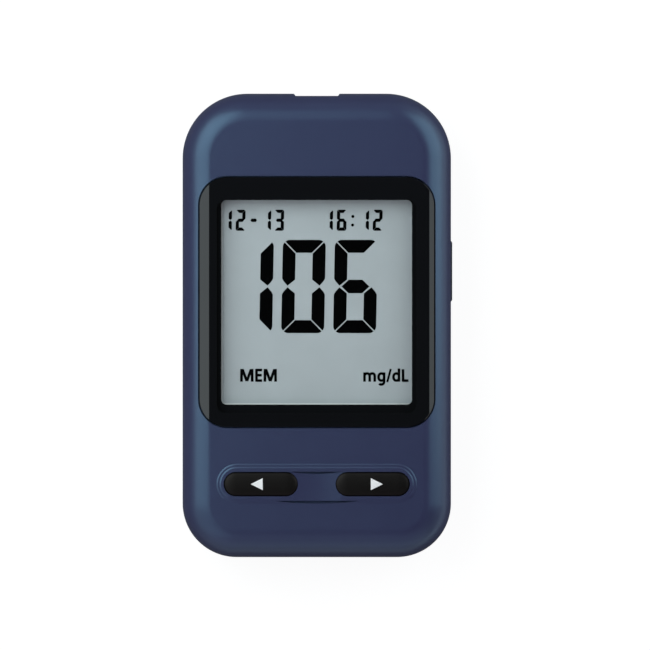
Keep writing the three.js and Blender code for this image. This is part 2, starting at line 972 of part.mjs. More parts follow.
// A frame round the glass, with a shelf under it and a slot for each rubber contact strip
function displayHolder() {
  const glassSide = glassMargin + holderFit;
  const glassEnd = glassSide + glassLedge;
  const shelf = viewHalfWidth + glassSide - holderRest;
  const slotHalf = viewHalfWidth + glassMargin - zebraEndMargin + zebraFit;
  const slotThick = zebraThickness / 2 + zebraFit;
  const railReach = slotThick + holderRest;
  const low = boardTop - overrun;
  return cut(
    displayPlate(glassSide + holderWall, glassEnd + holderWall, boardTop, frontGlassTop),
    displayPlate(glassSide, glassEnd, displayBottom, frontGlassTop + overrun),
    box(
      -shelf,
      shelf,
      zebraYs.bottom + railReach,
      zebraYs.top - railReach,
      low,
      displayBottom + overrun,
    ),
    ...Object.values(zebraYs).map((y) =>
      box(-slotHalf, slotHalf, y - slotThick, y + slotThick, low, frontGlassTop),
    ),
  );
}

function mainBoard() {
  return cut(
    caseSlab(boardInset, boardBottom, boardTop),
    ...screwPlaces.map(([x, y]) =>
      cylinder(x, y, screwRadius + screwFit, boardBottom - overrun, boardTop + overrun),
    ),
  );
}

function controllerChip() {
  const half = controllerSize / 2;
  const low = boardBottom - controllerThickness;
  const [left, right] = [controllerX - half, controllerX + half];
  return box(left, right, controllerY - half, controllerY + half, low, boardBottom);
}

function clockCrystal() {
  const x = controllerX - controllerSize / 2 - crystalGap - crystalWidth / 2;
  const points = stadiumPoints(controllerY, x, crystalLength, crystalWidth, smallCornerSteps);
  const upright = points.map((point) => new THREE.Vector2(point.y, point.x));
  return prism(upright, boardBottom - crystalHeight, boardBottom);
}

function sounder() {
  const low = boardBottom - sounderHeight;
  return cut(
    cylinder(sounderX, sounderY, sounderRadius, low, boardBottom, cellSides / 2),
    cylinder(sounderX, sounderY, sounderHole, low - overrun, low + sounderHoleDepth),
  );
}

// A key: crowned cap, flange that keeps it in the case and stem that reaches the switch
function keyButton(x) {
  const flangeTop = frontCeiling - buttonFlangeGap;
  const flangeBottom = flangeTop - buttonFlangeThickness;
  const capTop = padTop + buttonProud;
  const crown = edgeLevels(0, capTop - buttonCrownDepth, buttonCrownWidth, capTop, crownSteps);
  const cap = loft(
    [{ inset: 0, z: flangeBottom }, ...crown].map(({ inset, z }) => ({
      points: buttonPoints(x, -inset),
      z,
    })),
  );
  return joined(
    cap,
    prism(buttonPoints(x, buttonFlange), flangeBottom, flangeTop),
    cylinder(x, buttonY, buttonStemRadius, plungerTop, flangeBottom + buttonFlangeThickness / 2),
  );
}

function tactileSwitch(x) {
  const half = switchSize / 2;
  return cut(
    box(x - half, x + half, buttonY - half, buttonY + half, boardTop, switchTop),
    cylinder(x, buttonY, plungerRadius + plungerGap, switchTop - switchBoreDepth, plungerTop),
  );
}

function switchPlunger(x) {
  return cylinder(x, buttonY, plungerRadius, plungerTop - plungerLength, plungerTop);
}

// A screw from the back: rounded head with a cross recess, shank and short point
function coverScrew([x, y]) {
  const headLevels = [
    [screwHeadRadius - screwHeadRound, screwHeadDepth],
    [screwHeadRadius, screwHeadDepth + screwHeadRound],
    [screwHeadRadius, screwHeadTop],
  ];
  const shankLevels = [
    [screwRadius, screwHeadTop - screwHeadThickness / 4],
    [screwRadius, screwTop - screwPoint],
    [screwRadius - screwPoint, screwTop],
  ];
  const long = crossLength / 2;
  const thin = crossWidth / 2;
  const low = screwHeadDepth - overrun;
  const high = screwHeadDepth + crossDepth;
  return cut(
    joined(turned(x, y, headLevels, screwSides), turned(x, y, shankLevels, screwSides)),
    box(x - long, x + long, y - thin, y + thin, low, high),
    box(x - thin, x + thin, y - long, y + long, low, high),
  );
}

// The connector that the strip slides into, with a groove for each of its contacts
function stripConnector() {
  const half = stripSlotWidth / 2 + connectorWall;
  const halfSlot = stripSlotWidth / 2;
  const halfGroove = contactWidth / 2 + contactGrooveGap;
  const grooveEnd = connectorFront - connectorFrontWall;
  const grooveLow = (slotBottom + slotTop) / 2;
  const back = connectorBack - overrun;
  const front = connectorFront + overrun;
  return cut(
    box(-half, half, connectorBack, connectorFront, slotBottom - connectorBase, boardBottom),
    box(-halfSlot, halfSlot, back, front, slotBottom, slotTop),
    ...contactXs.map((x) =>
      box(x - halfGroove, x + halfGroove, back, grooveEnd, grooveLow, boardBottom + overrun),
    ),
  );
}

// A sprung strip contact: it runs along the board, dips to the strip and lifts at its tip
function stripContact(x) {
  const runZ = boardBottom - contactThickness / 2;
  const dipY = connectorBack + contactRearRun + contactDipRun;
  const dipZ = armBottom + pusherThickness + contactStripGap + contactThickness / 2;
  const line = [
    [connectorBack - contactTail, runZ],
    [connectorBack + contactRearRun, runZ],
    [dipY, dipZ],
    [dipY + contactTipRun, dipZ + contactTipRise],
  ];
  const half = contactWidth / 2;
  return prismAlongX(leafPoints(line, contactThickness), x - half, x + half);
}

// The thumb slide: a pad whose outer face slopes off at both ends, and a neck to the arm
function ejectorSlider() {
  const outer = halfWidth + sliderProud;
  const front = sliderY - sliderLength / 2;
  const back = sliderY + sliderLength / 2;
  const halfNeck = neckLength / 2;
  const pad = prism(
    [
      new THREE.Vector2(sliderInner, front),
      new THREE.Vector2(outer - sliderEndDrop, front),
      new THREE.Vector2(outer, front + sliderEndSlope),
      new THREE.Vector2(outer, back - sliderEndSlope),
      new THREE.Vector2(outer - sliderEndDrop, back),
      new THREE.Vector2(sliderInner, back),
    ],
    seamHeight - sliderHeight / 2,
    seamHeight + sliderHeight / 2,
  );
  const neck = box(
    armOuter - neckReach,
    sliderInner + sliderFloorGap,
    sliderY - halfNeck,
    sliderY + halfNeck,
    seamHeight - neckHeight / 2,
    seamHeight + neckHeight / 2,
  );
  return joined(pad, neck);
}

// The arm: side bar with a socket for the neck, spring lug, cross bar and thin strip pusher
function ejectorArm() {
  const socketHalf = neckLength / 2 + neckFit;
  const socketZ = neckHeight / 2 + neckFit;
  const blockHalf = socketHalf + blockWall;
  const blockZ = socketZ + blockWall;
  const plate = prism(
    [
      new THREE.Vector2(armInner, armBottomY),
      new THREE.Vector2(armOuter - armCorner, armBottomY),
      new THREE.Vector2(armOuter, armBottomY + armCorner),
      new THREE.Vector2(armOuter, armTopY - armCorner),
      new THREE.Vector2(armOuter - armCorner, armTopY),
      new THREE.Vector2(-armCrossReach, armTopY),
      new THREE.Vector2(-armCrossReach, armCrossY),
      new THREE.Vector2(armInner - armCorner, armCrossY),
      new THREE.Vector2(armInner, armCrossY - armCorner),
    ],
    armBottom,
    armTop,
  );
  const block = box(
    armOuter - blockDepth,
    armOuter,
    sliderY - blockHalf,
    sliderY + blockHalf,
    seamHeight - blockZ,
    seamHeight + blockZ,
  );
  const lug = box(
    springX - lugWidth / 2,
    armInner + lugThickness,
    lugY,
    lugY + lugThickness,
    springZ - springRadius,
    armTop,
  );
  const pegEnd = lugY + lugThickness + pegLength;
  const pusher = box(
    -pusherWidth / 2,
    pusherWidth / 2,
    armTopY - armCrossWidth / 2,
    armTopY + pusherLength,
    armBottom,
    armBottom + pusherThickness,
  );
  const socket = box(
    armOuter - neckReach - neckFit,
    armOuter + overrun,
    sliderY - socketHalf,
    sliderY + socketHalf,
    seamHeight - socketZ,
    seamHeight + socketZ,
  );
  return cut(
    joined(
      plate,
      block,
      lug,
      pegAlongY(springX, springZ, pegRadius, lugY + lugThickness / 2, pegEnd),
      pusher,
    ),
    socket,
  );
}

// The line of the return spring's wire, wound about a line along Y
class CoilPath extends THREE.Curve {
  getPoint(share) {
    const radius = springRadius - springWire / 2;
    const angle = 2 * Math.PI * springTurns * share;
    const run = springEnd - springStart - springWire;
    return new THREE.Vector3(
      springX + radius * Math.cos(angle),
      springStart + springWire / 2 + run * share,
      springZ + radius * Math.sin(angle),
    );
  }
}

function ejectorSpring() {
  const section = new THREE.Shape(circlePoints(0, 0, springWire / 2, coilSides));
  const geometry = new THREE.ExtrudeGeometry(section, {
    steps: springTurns * coilSteps,
    extrudePath: new CoilPath(),
  });
  return solidOf(geometry);
}

function coinCell(x) {
  const radius = cellDiameter / 2;
  const canTop = cellTop - cellCapStep;
  const levels = [
    [radius - cellEdge, cellBottom],
    [radius, cellBottom + cellEdge],
    [radius, canTop - cellEdge],
    [radius - cellEdge, canTop],
  ];
  return joined(
    turned(x, cellY, levels, cellSides),
    cylinder(x, cellY, radius - cellCapInset, cellBottom + cellEdge, cellTop, cellSides),
  );
}

// A leaf under the bay's roof that dips to the cap of its cell, with a tail up to the board
function negativeContact(x) {
  const seatZ = bayCeiling - leafSeatGap - leafThickness / 2;
  const touchZ = cellTop + negativeTouchGap + leafThickness / 2;
  const line = [
    [negativeTailY, boardBottom],
    [negativeTailY, seatZ],
    [negativeTailY - negativeSeatRun, seatZ],
    [cellY, touchZ],
    [cellY - negativeTipRun, touchZ + negativeTipRise],
  ];
  const half = leafWidth / 2;
  return prismAlongX(leafPoints(line, leafThickness), x - half, x + half);
}

// An upright leaf that touches the rim of its cell at the end of the bay
function positiveContact(x) {
  const leafX = Math.sign(x) * positiveLeafX;
  const thin = leafThickness / 2;
  const wide = leafWidth / 2;
  const foot = doorThickness + positiveFootGap;
  return box(leafX - thin, leafX + thin, cellY - wide, cellY + wide, foot, boardBottom);
}

// Outline of the door's panel, drawn in by an inset
function doorRing(inset, z) {
  const points = roundedPoints(
    inset - doorHalfWidth,
    doorHalfWidth - inset,
    doorBottomY + inset,
    doorTopY - inset,
    doorCorner,
    doorCorner,
    smallCornerSteps,
  );
  return { points, z };
}

// A hook at the foot of the door, which reaches over the edge of the case's back
function doorHook(x) {
  const root = doorThickness - doorEdgeChamfer;
  const bottom = doorThickness + hookLift;
  const top = bottom + hookThickness;
  const points = [
    new THREE.Vector2(doorBottomY, root),
    new THREE.Vector2(doorBottomY + hookRoot, root),
    new THREE.Vector2(doorBottomY + hookRoot, top),
    new THREE.Vector2(doorBottomY - hookReach, top),
    new THREE.Vector2(doorBottomY - hookReach, bottom),
    new THREE.Vector2(doorBottomY, bottom),
  ];
  return prismAlongX(points, x - hookWidth / 2, x + hookWidth / 2);
}

// The door: panel with softened edges, hooks, a sprung latch tongue and grip grooves
function batteryDoor() {
  const panel = loft([
    doorRing(doorEdgeChamfer, 0),
    doorRing(0, doorEdgeChamfer),
    doorRing(0, doorThickness),
  ]);
  const latch = box(
    -latchWidth / 2,
    latchWidth / 2,
    latchOuterY - latchThickness,
    latchOuterY,
    doorThickness / 2,
    doorThickness + latchHeight,
  );
  const slits = [-1, 1].map((side) => {
    const x = (side * (latchWidth + latchSlit)) / 2;
    const [left, right] = [x - latchSlit / 2, x + latchSlit / 2];
    const high = doorThickness + overrun;
    return box(left, right, doorTopY - latchLength, doorTopY + overrun, -overrun, high);
  });
  const grooves = Array.from({ length: doorGripCount }, (_, i) => {
    const y = doorTopY - doorGripMargin - i * doorGripPitch;
    const points = stadiumPoints(0, y, doorGripLength, doorGripWidth, smallCornerSteps);
    return prism(points, -overrun, doorGripDepth);
  });
  const hooks = [-1, 1].map((side) => doorHook((side * hookPitch) / 2));
  return cut(joined(panel, ...hooks, latch), ...slits, ...grooves);
}

// Finishes of the pieces
const finishes = {
  casePlastic: { color: 0x393f5e, roughness: 0.45, metalness: 0 },
  blackPlastic: { color: 0x202021, roughness: 0.4, metalness: 0 },
  slidePlastic: { color: 0x3f4754, roughness: 0.5, metalness: 0 },
  windowBlack: { color: 0x101113, roughness: 0.08, metalness: 0 },
  displayGrey: { color: 0xa1acb0, roughness: 0.6, metalness: 0 },
  glassClear: { color: 0xc4ccca, roughness: 0.1, metalness: 0 },
  tapeBlack: { color: 0x1a1a1b, roughness: 0.8, metalness: 0 },
  innerPlastic: { color: 0xd8d8d2, roughness: 0.6, metalness: 0 },
  contactRubber: { color: 0x6b6f75, roughness: 0.85, metalness: 0 },
  boardGreen: { color: 0x1d5a38, roughness: 0.5, metalness: 0 },
  goldPlate: { color: 0xc9a44a, roughness: 0.3, metalness: 1 },
  nickelPlate: { color: 0xb8b6ae, roughness: 0.32, metalness: 1 },
  screwSteel: { color: 0x8d8f92, roughness: 0.35, metalness: 1 },
};

const meter = new THREE.Group();

function addPart(name, solid, finish) {
  const material = new THREE.MeshStandardMaterial(finishes[finish]);
  const mesh = new THREE.Mesh(geometryOf(solid), material);
  mesh.name = name;
  meter.add(mesh);
}

// Case
addPart("front_cover", frontCover(), "casePlastic");
addPart("rear_cover", rearCover(), "casePlastic");
screwPlaces.forEach((place, i) => addPart(`cover_screw_${i + 1}`, coverScrew(place), "screwSteel"));

// Window and display
const polarizerReach = glassMargin - polarizerInset;
const ledgeReach = glassMargin + glassLedge;
addPart("display_window", displayWindow(), "windowBlack");
addPart("window_tape", windowTape(), "tapeBlack");
addPart(
  "front_polarizer",
  displayPlate(polarizerReach, polarizerReach, frontGlassTop, displayTop),
  "displayGrey",
);
addPart(
  "front_glass",
  displayPlate(glassMargin, ledgeReach, frontGlassBottom, frontGlassTop),
  "glassClear",
);
addPart(
  "rear_glass",
  displayPlate(glassMargin, glassMargin, rearGlassBottom, frontGlassBottom),
  "glassClear",
);
addPart(
  "rear_polarizer",
  displayPlate(polarizerReach, polarizerReach, displayBottom, rearGlassBottom),
  "displayGrey",
);
addPart("display_holder", displayHolder(), "innerPlastic");
for (const [end, y] of Object.entries(zebraYs)) {
  addPart(`zebra_strip_${end}`, zebraStrip(y), "contactRubber");
}

// Circuit board
addPart("main_board", mainBoard(), "boardGreen");
addPart("controller_chip", controllerChip(), "blackPlastic");
addPart("clock_crystal", clockCrystal(), "nickelPlate");
addPart("sounder", sounder(), "blackPlastic");

// Keys
for (const [side, x] of Object.entries(buttonXs)) {
  addPart(`button_${side}`, keyButton(x), "blackPlastic");
  addPart(`switch_${side}`, tactileSwitch(x), "blackPlastic");
  addPart(`switch_plunger_${side}`, switchPlunger(x), "innerPlastic");
}

// Strip port and ejector
addPart("strip_connector", stripConnector(), "blackPlastic");
contactXs.forEach((x, i) => addPart(`strip_contact_${i + 1}`, stripContact(x), "goldPlate"));
addPart("ejector_slider", ejectorSlider(), "slidePlastic");
addPart("ejector_arm", ejectorArm(), "innerPlastic");
addPart("ejector_spring", ejectorSpring(), "nickelPlate");

// Batteries
addPart("battery_door", batteryDoor(), "casePlastic");
for (const [side, x] of Object.entries(cellXs)) {
  addPart(`coin_cell_${side}`, coinCell(x), "nickelPlate");
  addPart(`negative_contact_${side}`, negativeContact(x), "nickelPlate");
  addPart(`positive_contact_${side}`, positiveContact(x), "nickelPlate");
}

export default meter;
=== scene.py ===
"""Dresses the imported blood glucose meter: fine skins, display picture, finishes and studio.

Lengths are in millimetres until a mesh is written. The frame is the part's own: X runs across the
meter, Y towards the strip port and Z out of the display, from the middle of the flat back.
"""

from __future__ import annotations

import json
import logging
import math
from dataclasses import dataclass, field
from enum import Enum
from typing import Callable, Iterable, Mapping, Sequence

import bmesh
import bpy
from mathutils import Matrix, Vector

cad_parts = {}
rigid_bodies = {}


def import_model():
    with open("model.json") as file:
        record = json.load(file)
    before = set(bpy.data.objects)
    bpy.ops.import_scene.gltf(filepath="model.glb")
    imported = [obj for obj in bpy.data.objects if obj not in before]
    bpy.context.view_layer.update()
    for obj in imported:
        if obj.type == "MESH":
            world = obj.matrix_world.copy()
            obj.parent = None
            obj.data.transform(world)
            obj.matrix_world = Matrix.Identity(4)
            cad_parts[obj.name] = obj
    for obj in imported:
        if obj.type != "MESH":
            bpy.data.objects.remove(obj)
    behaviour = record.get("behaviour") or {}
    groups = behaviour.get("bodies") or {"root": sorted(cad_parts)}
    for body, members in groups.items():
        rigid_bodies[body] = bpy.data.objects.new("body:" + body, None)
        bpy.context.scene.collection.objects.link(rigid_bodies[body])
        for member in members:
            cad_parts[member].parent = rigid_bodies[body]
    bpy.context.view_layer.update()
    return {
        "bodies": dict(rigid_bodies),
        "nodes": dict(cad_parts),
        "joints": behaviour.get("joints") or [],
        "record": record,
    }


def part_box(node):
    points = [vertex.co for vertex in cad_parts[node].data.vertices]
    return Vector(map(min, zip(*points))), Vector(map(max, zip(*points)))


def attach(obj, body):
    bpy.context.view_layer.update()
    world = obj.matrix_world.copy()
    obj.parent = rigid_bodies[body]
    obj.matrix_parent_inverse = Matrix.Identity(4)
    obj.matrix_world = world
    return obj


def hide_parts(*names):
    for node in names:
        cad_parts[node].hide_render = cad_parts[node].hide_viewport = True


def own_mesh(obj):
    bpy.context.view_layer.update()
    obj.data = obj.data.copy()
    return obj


LOG = logging.getLogger("meter")
MM = 0.001
SPARE = 1.0  # how far a cutter runs past the surface that it cuts
WELD = 0.0005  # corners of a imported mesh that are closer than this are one
DOUBLED = 1e-5  # points of an outline that are closer than this are one
FLAT_TURN = 0.2  # faces that turn by fewer degrees than this are one plane
SOFT_TURN = 40.0  # edges that turn by more degrees than this are rounded
UPRIGHT = 0.1  # a face that points up by less than this is a side
KEY_ROW, KEY_PITCH = -29.4, 20.74
SIDES = (("left", -1.0), ("right", 1.0))
CORNER_STEPS = 24
BOW_STEPS = 14

Point2 = tuple[float, float]
Point3 = tuple[float, float, float]
Colour = tuple[float, float, float]
Settings = Mapping[str, object]
Inputs = Mapping[str | int, object]


# ---- shader building ----


class Socket:
    """A value in a shader tree, on which plain sums add their Math nodes."""

    def __init__(self, shader: Shader, link: bpy.types.NodeSocket) -> None:
        """Keeps the shader and the output that carries the value."""
        self.shader = shader
        self.link = link

    def _math(self, operation: str, *values: Socket | float) -> Socket:
        """Adds one Math node that takes the values in order."""
        inputs = dict(enumerate(values))
        return self.shader.value("ShaderNodeMath", {"operation": operation}, inputs)

    def __add__(self, other: Socket | float) -> Socket:
        """Adds a value."""
        return self._math("ADD", self, other)

    def __radd__(self, other: float) -> Socket:
        """Adds to a number."""
        return self._math("ADD", other, self)

    def __sub__(self, other: Socket | float) -> Socket:
        """Takes a value away."""
        return self._math("SUBTRACT", self, other)

    def __rsub__(self, other: float) -> Socket:
        """Takes this from a number."""
        return self._math("SUBTRACT", other, self)

    def __mul__(self, other: Socket | float) -> Socket:
        """Multiplies by a value."""
        return self._math("MULTIPLY", self, other)

    def __rmul__(self, other: float) -> Socket:
        """Multiplies a number."""
        return self._math("MULTIPLY", other, self)

    def absolute(self) -> Socket:
        """Gives the size of the value, without its sign."""
        return self._math("ABSOLUTE", self)

    def highest(self, other: Socket | float) -> Socket:
        """Gives the larger of this and another value."""
        return self._math("MAXIMUM", self, other)

    def lowest(self, other: Socket | float) -> Socket:
        """Gives the smaller of this and another value."""
        return self._math("MINIMUM", self, other)

    def root(self) -> Socket:
        """Gives the square root."""
        return self._math("SQRT", self)

    def step(self, low: float, high: float) -> Socket:
        """Rises smoothly from 0 at the low value to 1 at the high one."""
        ends = {"Value": self, "From Min": low, "From Max": high}
        return self.shader.value("ShaderNodeMapRange", {"interpolation_type": "SMOOTHSTEP"}, ends)


class Shader:
    """A material or world tree, built node by node."""

    def __init__(self, tree: bpy.types.NodeTree) -> None:
        """Empties the tree of a material or a world and takes it over."""
        self.tree = tree
        tree.nodes.clear()

    def node(
        self, kind: str, settings: Settings | None = None, inputs: Inputs | None = None
    ) -> bpy.types.Node:
        """Adds a node, sets it up and fills its sockets.

        Args:
            kind: The node's type.
            settings: Its own settings, set first.
            inputs: Values or links for its sockets, by name or by place.

        Returns:
            The new node.
        """
        node = self.tree.nodes.new(kind)
        for name, setting in (settings or {}).items():
            setattr(node, name, setting)
        for name, value in (inputs or {}).items():
            if isinstance(value, Socket):
                self.tree.links.new(value.link, node.inputs[name])
            else:
                node.inputs[name].default_value = value
        return node

    def value(
        self,
        kind: str,
        settings: Settings | None = None,
        inputs: Inputs | None = None,
        output: str | int = 0,
    ) -> Socket:
        """Adds a node and gives one of its outputs, by name or by place."""
        return Socket(self, self.node(kind, settings, inputs).outputs[output])

    def place(self) -> Socket:
        """Gives the point on the piece, in metres of its own frame."""
        return self.value("ShaderNodeTexCoord", output="Object")

    def axes(self) -> tuple[Socket, Socket, Socket]:
        """Gives X, Y and Z of the point, in millimetres."""
        split = self.node("ShaderNodeSeparateXYZ", inputs={0: self.place()})
        return tuple(Socket(self, out) * (1 / MM) for out in split.outputs)

    def noise(self, size: float, detail: float = 2.0, stretch: Point3 = (1, 1, 1)) -> Socket:
        """Gives soft noise over the piece.

        Args:
            size: Width of one blotch in millimetres.
            detail: How many finer layers it carries.
            stretch: How much longer a blotch is along each axis.

        Returns:
            Noise about one half.
        """
        scale = tuple(1 / (size * MM * share) for share in stretch)
        ends = {0: self.place(), 1: scale}
        point = self.value("ShaderNodeVectorMath", {"operation": "MULTIPLY"}, ends)
        inputs = {"Vector": point, "Scale": 1.0, "Detail": detail, "Roughness": 0.55}
        return self.value("ShaderNodeTexNoise", None, inputs)

    def blend(self, factor: Socket | float, first: object, second: object) -> Socket:
        """Mixes two colours, plain or linked, by how much of the second shows."""
        inputs = {0: factor, 6: padded(first), 7: padded(second)}
        return self.value("ShaderNodeMix", {"data_type": "RGBA"}, inputs, output=2)

    def bump(self, height: Socket, depth: float) -> Socket:
        """Turns a height into a normal, where a height of 1 is worth the depth in millimetres."""
        inputs = {"Strength": 1.0, "Distance": depth * MM, "Height": height}
        return self.value("ShaderNodeBump", None, inputs, output="Normal")

    def finish(self, kind: str, inputs: Inputs, output: str = "ShaderNodeOutputMaterial") -> None:
        """Adds the last shader node, with its sockets filled, and puts it on the tree's output."""
        self.node(output, None, {"Surface": self.value(kind, None, inputs)})


def padded(colour: object) -> object:
    """Gives a plain colour its alpha and leaves a link as it is."""
    return colour if isinstance(colour, Socket) else (*colour, 1.0)


def tinted(colour: Colour, gain: float) -> Colour:
    """Makes a colour lighter or darker by one factor."""
    return tuple(part * gain for part in colour)


# ---- finishes ----


@dataclass(frozen=True)
class Finish:
    """What every finish shares: its name, the record's slot that it stands for, its material."""

    name: str
    slot: str = field(default="", kw_only=True)

    def surface(self, shader: Shader) -> Inputs:
        """Builds the finish.

        Args:
            shader: The tree to build in.

        Returns:
            What goes into the sockets of its Principled BSDF.
        """
        raise NotImplementedError(self.name)

    def material(self) -> bpy.types.Material:
        """Gives the material, built the first time it is asked for.

        Returns:
            The material.
        """
        known = bpy.data.materials.get(self.name)
        if known:
            return known
        material = bpy.data.materials.new(self.name)
        material.use_nodes = True
        shader = Shader(material.node_tree)
        shader.finish("ShaderNodeBsdfPrincipled", self.surface(shader))
        return material


@dataclass(frozen=True)
class Moulding(Finish):
    """Moulded plastic: fine spark grain, faint flow marks and a satin skin."""

    colour: Colour
    cool: Colour
    roughness: float = 0.4
    grain: float = 0.12
    grain_depth: float = 0.004
    level: float = 0.5
    ior: float = 1.5
    sheen_colour: Colour = (1.0, 1.0, 1.0)

    def surface(self, shader: Shader) -> Inputs:
        """Builds the satin skin.

        Args:
            shader: The tree to build in.

        Returns:
            What goes into the sockets of its Principled BSDF.
        """
        flow = shader.noise(14.0, 3.0)
        fine = shader.noise(self.grain, 1.0)
        cloud = shader.noise(2.2, 4.0)
        return {
            "Base Color": shader.blend(flow.step(0.3, 0.7), self.colour, self.cool),
            "Roughness": self.roughness - 0.03 + 0.06 * cloud + 0.04 * fine,
            "IOR": self.ior,
            "Specular IOR Level": self.level,
            "Specular Tint": padded(self.sheen_colour),
            "Normal": shader.bump(fine + 0.6 * cloud, self.grain_depth),
        }


@dataclass(frozen=True)
class PrintedWindow(Finish):
    """Polished cover window: black print behind its border, clear over the display."""

    left: float
    right: float
    bottom: float
    top: float
    corner: float
    underside: float = 15.55
    widening: float = 0.6
    lean: float = 0.55
    level: float = 0.42
    clear: Colour = (0.02, 0.022, 0.022)
    ink: Colour = (0.005, 0.0054, 0.0065)
    clear_alpha: float = 0.02
    edge: float = 0.06

    def surface(self, shader: Shader) -> Inputs:
        """Builds the polished sheet with its printed border.

        Args:
            shader: The tree to build in.

        Returns:
            What goes into the sockets of its Principled BSDF.
        """
        x, y, z = shader.axes()
        middle_x, middle_y = (self.left + self.right) / 2, (self.bottom + self.top) / 2
        reach_x = (x - middle_x).absolute() - ((self.right - self.left) / 2 - self.corner)
        leant = y - middle_y + (z - self.underside) * self.lean
        reach_y = leant.absolute() - ((self.top - self.bottom) / 2 - self.corner)
        out_x, out_y = reach_x.highest(0.0), reach_y.highest(0.0)
        round_part = (out_x * out_x + out_y * out_y).root()
        distance = round_part + reach_x.highest(reach_y).lowest(0.0) - self.corner
        border = (distance - (z - self.underside) * self.widening).step(-self.edge, self.edge)
        haze = shader.noise(9.0, 3.0)
        return {
            "Base Color": shader.blend(border, self.clear, self.ink),
            "Roughness": 0.02 + 0.02 * haze,
            "Specular IOR Level": self.level,
            "Alpha": self.clear_alpha + (1 - self.clear_alpha) * border,
            "Normal": shader.bump(haze, 0.0015),
        }


@dataclass(frozen=True)
class DisplayFilm(Finish):
    """Grey-green face of the display, a fine diffuse film."""

    colour: Colour

    def surface(self, shader: Shader) -> Inputs:
        """Builds the film.

        Args:
            shader: The tree to build in.

        Returns:
            What goes into the sockets of its Principled BSDF.
        """
        cloud = shader.noise(6.0, 3.0).step(0.25, 0.75)
        grain = shader.noise(0.09, 1.0)
        return {
            "Base Color": shader.blend(cloud, self.colour, tinted(self.colour, 1.05)),
            "Roughness": 0.52 + 0.1 * grain,
            "Normal": shader.bump(grain, 0.003),
        }


@dataclass(frozen=True)
class Print(Finish):
    """Ink or inlaid plastic of a mark, or the pale painted-highlight strip at the display's edge,
    with a slightly uneven coat.
    """

    colour: Colour
    roughness: float
    level: float = 0.5
    thin: float = 0.9

    def surface(self, shader: Shader) -> Inputs:
        """Builds the coat.

        Args:
            shader: The tree to build in.

        Returns:
            What goes into the sockets of its Principled BSDF.
        """
        coat = shader.noise(0.4, 3.0)
        return {
            "Base Color": shader.blend(coat, self.colour, tinted(self.colour, self.thin)),
            "Roughness": self.roughness + 0.08 * coat,
            "Specular IOR Level": self.level,
            "Normal": shader.bump(coat, 0.002),
        }


@dataclass(frozen=True)
class Plating(Finish):
    """Plated or rolled metal with fine drawing lines and handling marks."""

    colour: Colour
    roughness: float = 0.28
    lines: Point3 = (14.0, 1.0, 1.0)

    def surface(self, shader: Shader) -> Inputs:
        """Builds the metal.

        Args:
            shader: The tree to build in.

        Returns:
            What goes into the sockets of its Principled BSDF.
        """
        drawn = shader.noise(0.16, 2.0, self.lines)
        stain = shader.noise(3.0, 4.0)
        return {
            "Base Color": shader.blend(stain, self.colour, tinted(self.colour, 0.86)),
            "Metallic": 1.0,
            "Roughness": self.roughness + 0.14 * drawn + 0.08 * stain,
            "Normal": shader.bump(drawn, 0.004),
        }


@dataclass(frozen=True)
class CellCan(Finish):
    """Pressed steel of a coin cell, turned rings about its own middle."""

    colour: Colour
    middle: Point2

    def surface(self, shader: Shader) -> Inputs:
        """Builds the can with its rings.

        Args:
            shader: The tree to build in.

        Returns:
            What goes into the sockets of its Principled BSDF.
        """
        x, y, _ = shader.axes()
        across, along = x - self.middle[0], y - self.middle[1]
        radius = (across * across + along * along).root()
        rings = shader.value("ShaderNodeTexNoise", {"noise_dimensions": "1D"}, {"W": radius * 9.0})
        stain = shader.noise(2.5, 4.0)
        return {
            "Base Color": shader.blend(stain, self.colour, tinted(self.colour, 0.85)),
            "Metallic": 1.0,
            "Roughness": 0.22 + 0.12 * rings + 0.08 * stain,
            "Normal": shader.bump(rings, 0.006),
        }


@dataclass(frozen=True)
class BoardLaminate(Finish):
    """Green solder mask over copper runs."""

    mask: Colour = (0.012, 0.1, 0.04)
    copper: Colour = (0.03, 0.19, 0.07)
    track: float = 1.1

    def surface(self, shader: Shader) -> Inputs:
        """Builds the mask, lighter where a run lies under it.

        Args:
            shader: The tree to build in.

        Returns:
            What goes into the sockets of its Principled BSDF.
        """
        settings = {"feature": "F1", "distance": "CHEBYCHEV"}
        inputs = {"Vector": shader.place(), "Scale": 1 / (self.track * MM), "Randomness": 0.4}
        run = shader.value("ShaderNodeTexVoronoi", settings, inputs).step(0.36, 0.44)
        weave = shader.noise(0.5, 2.0)
        return {
            "Base Color": shader.blend(run, self.copper, self.mask),
            "Roughness": 0.3 + 0.12 * weave,
            "Coat Weight": 0.3,
            "Normal": shader.bump((1 - run) + 0.2 * weave, 0.03),
        }


@dataclass(frozen=True)
class LayeredRubber(Finish):
    """Contact strip of thin carbon and clear silicone layers."""

    light: Colour = (0.2, 0.22, 0.24)
    dark: Colour = (0.015, 0.015, 0.016)
    pitch: float = 0.18

    def surface(self, shader: Shader) -> Inputs:
        """Builds the layers along the strip.

        Args:
            shader: The tree to build in.

        Returns:
            What goes into the sockets of its Principled BSDF.
        """
        settings = {"wave_type": "BANDS", "bands_direction": "X"}
        inputs = {"Vector": shader.place(), "Scale": 0.31 / (self.pitch * MM), "Distortion": 0.2}
        layer = shader.value("ShaderNodeTexWave", settings, inputs, output=1)
        return {
            "Base Color": shader.blend(layer, self.dark, self.light),
            "Roughness": 0.6 + 0.15 * layer,
            "Normal": shader.bump(layer, 0.01),
        }


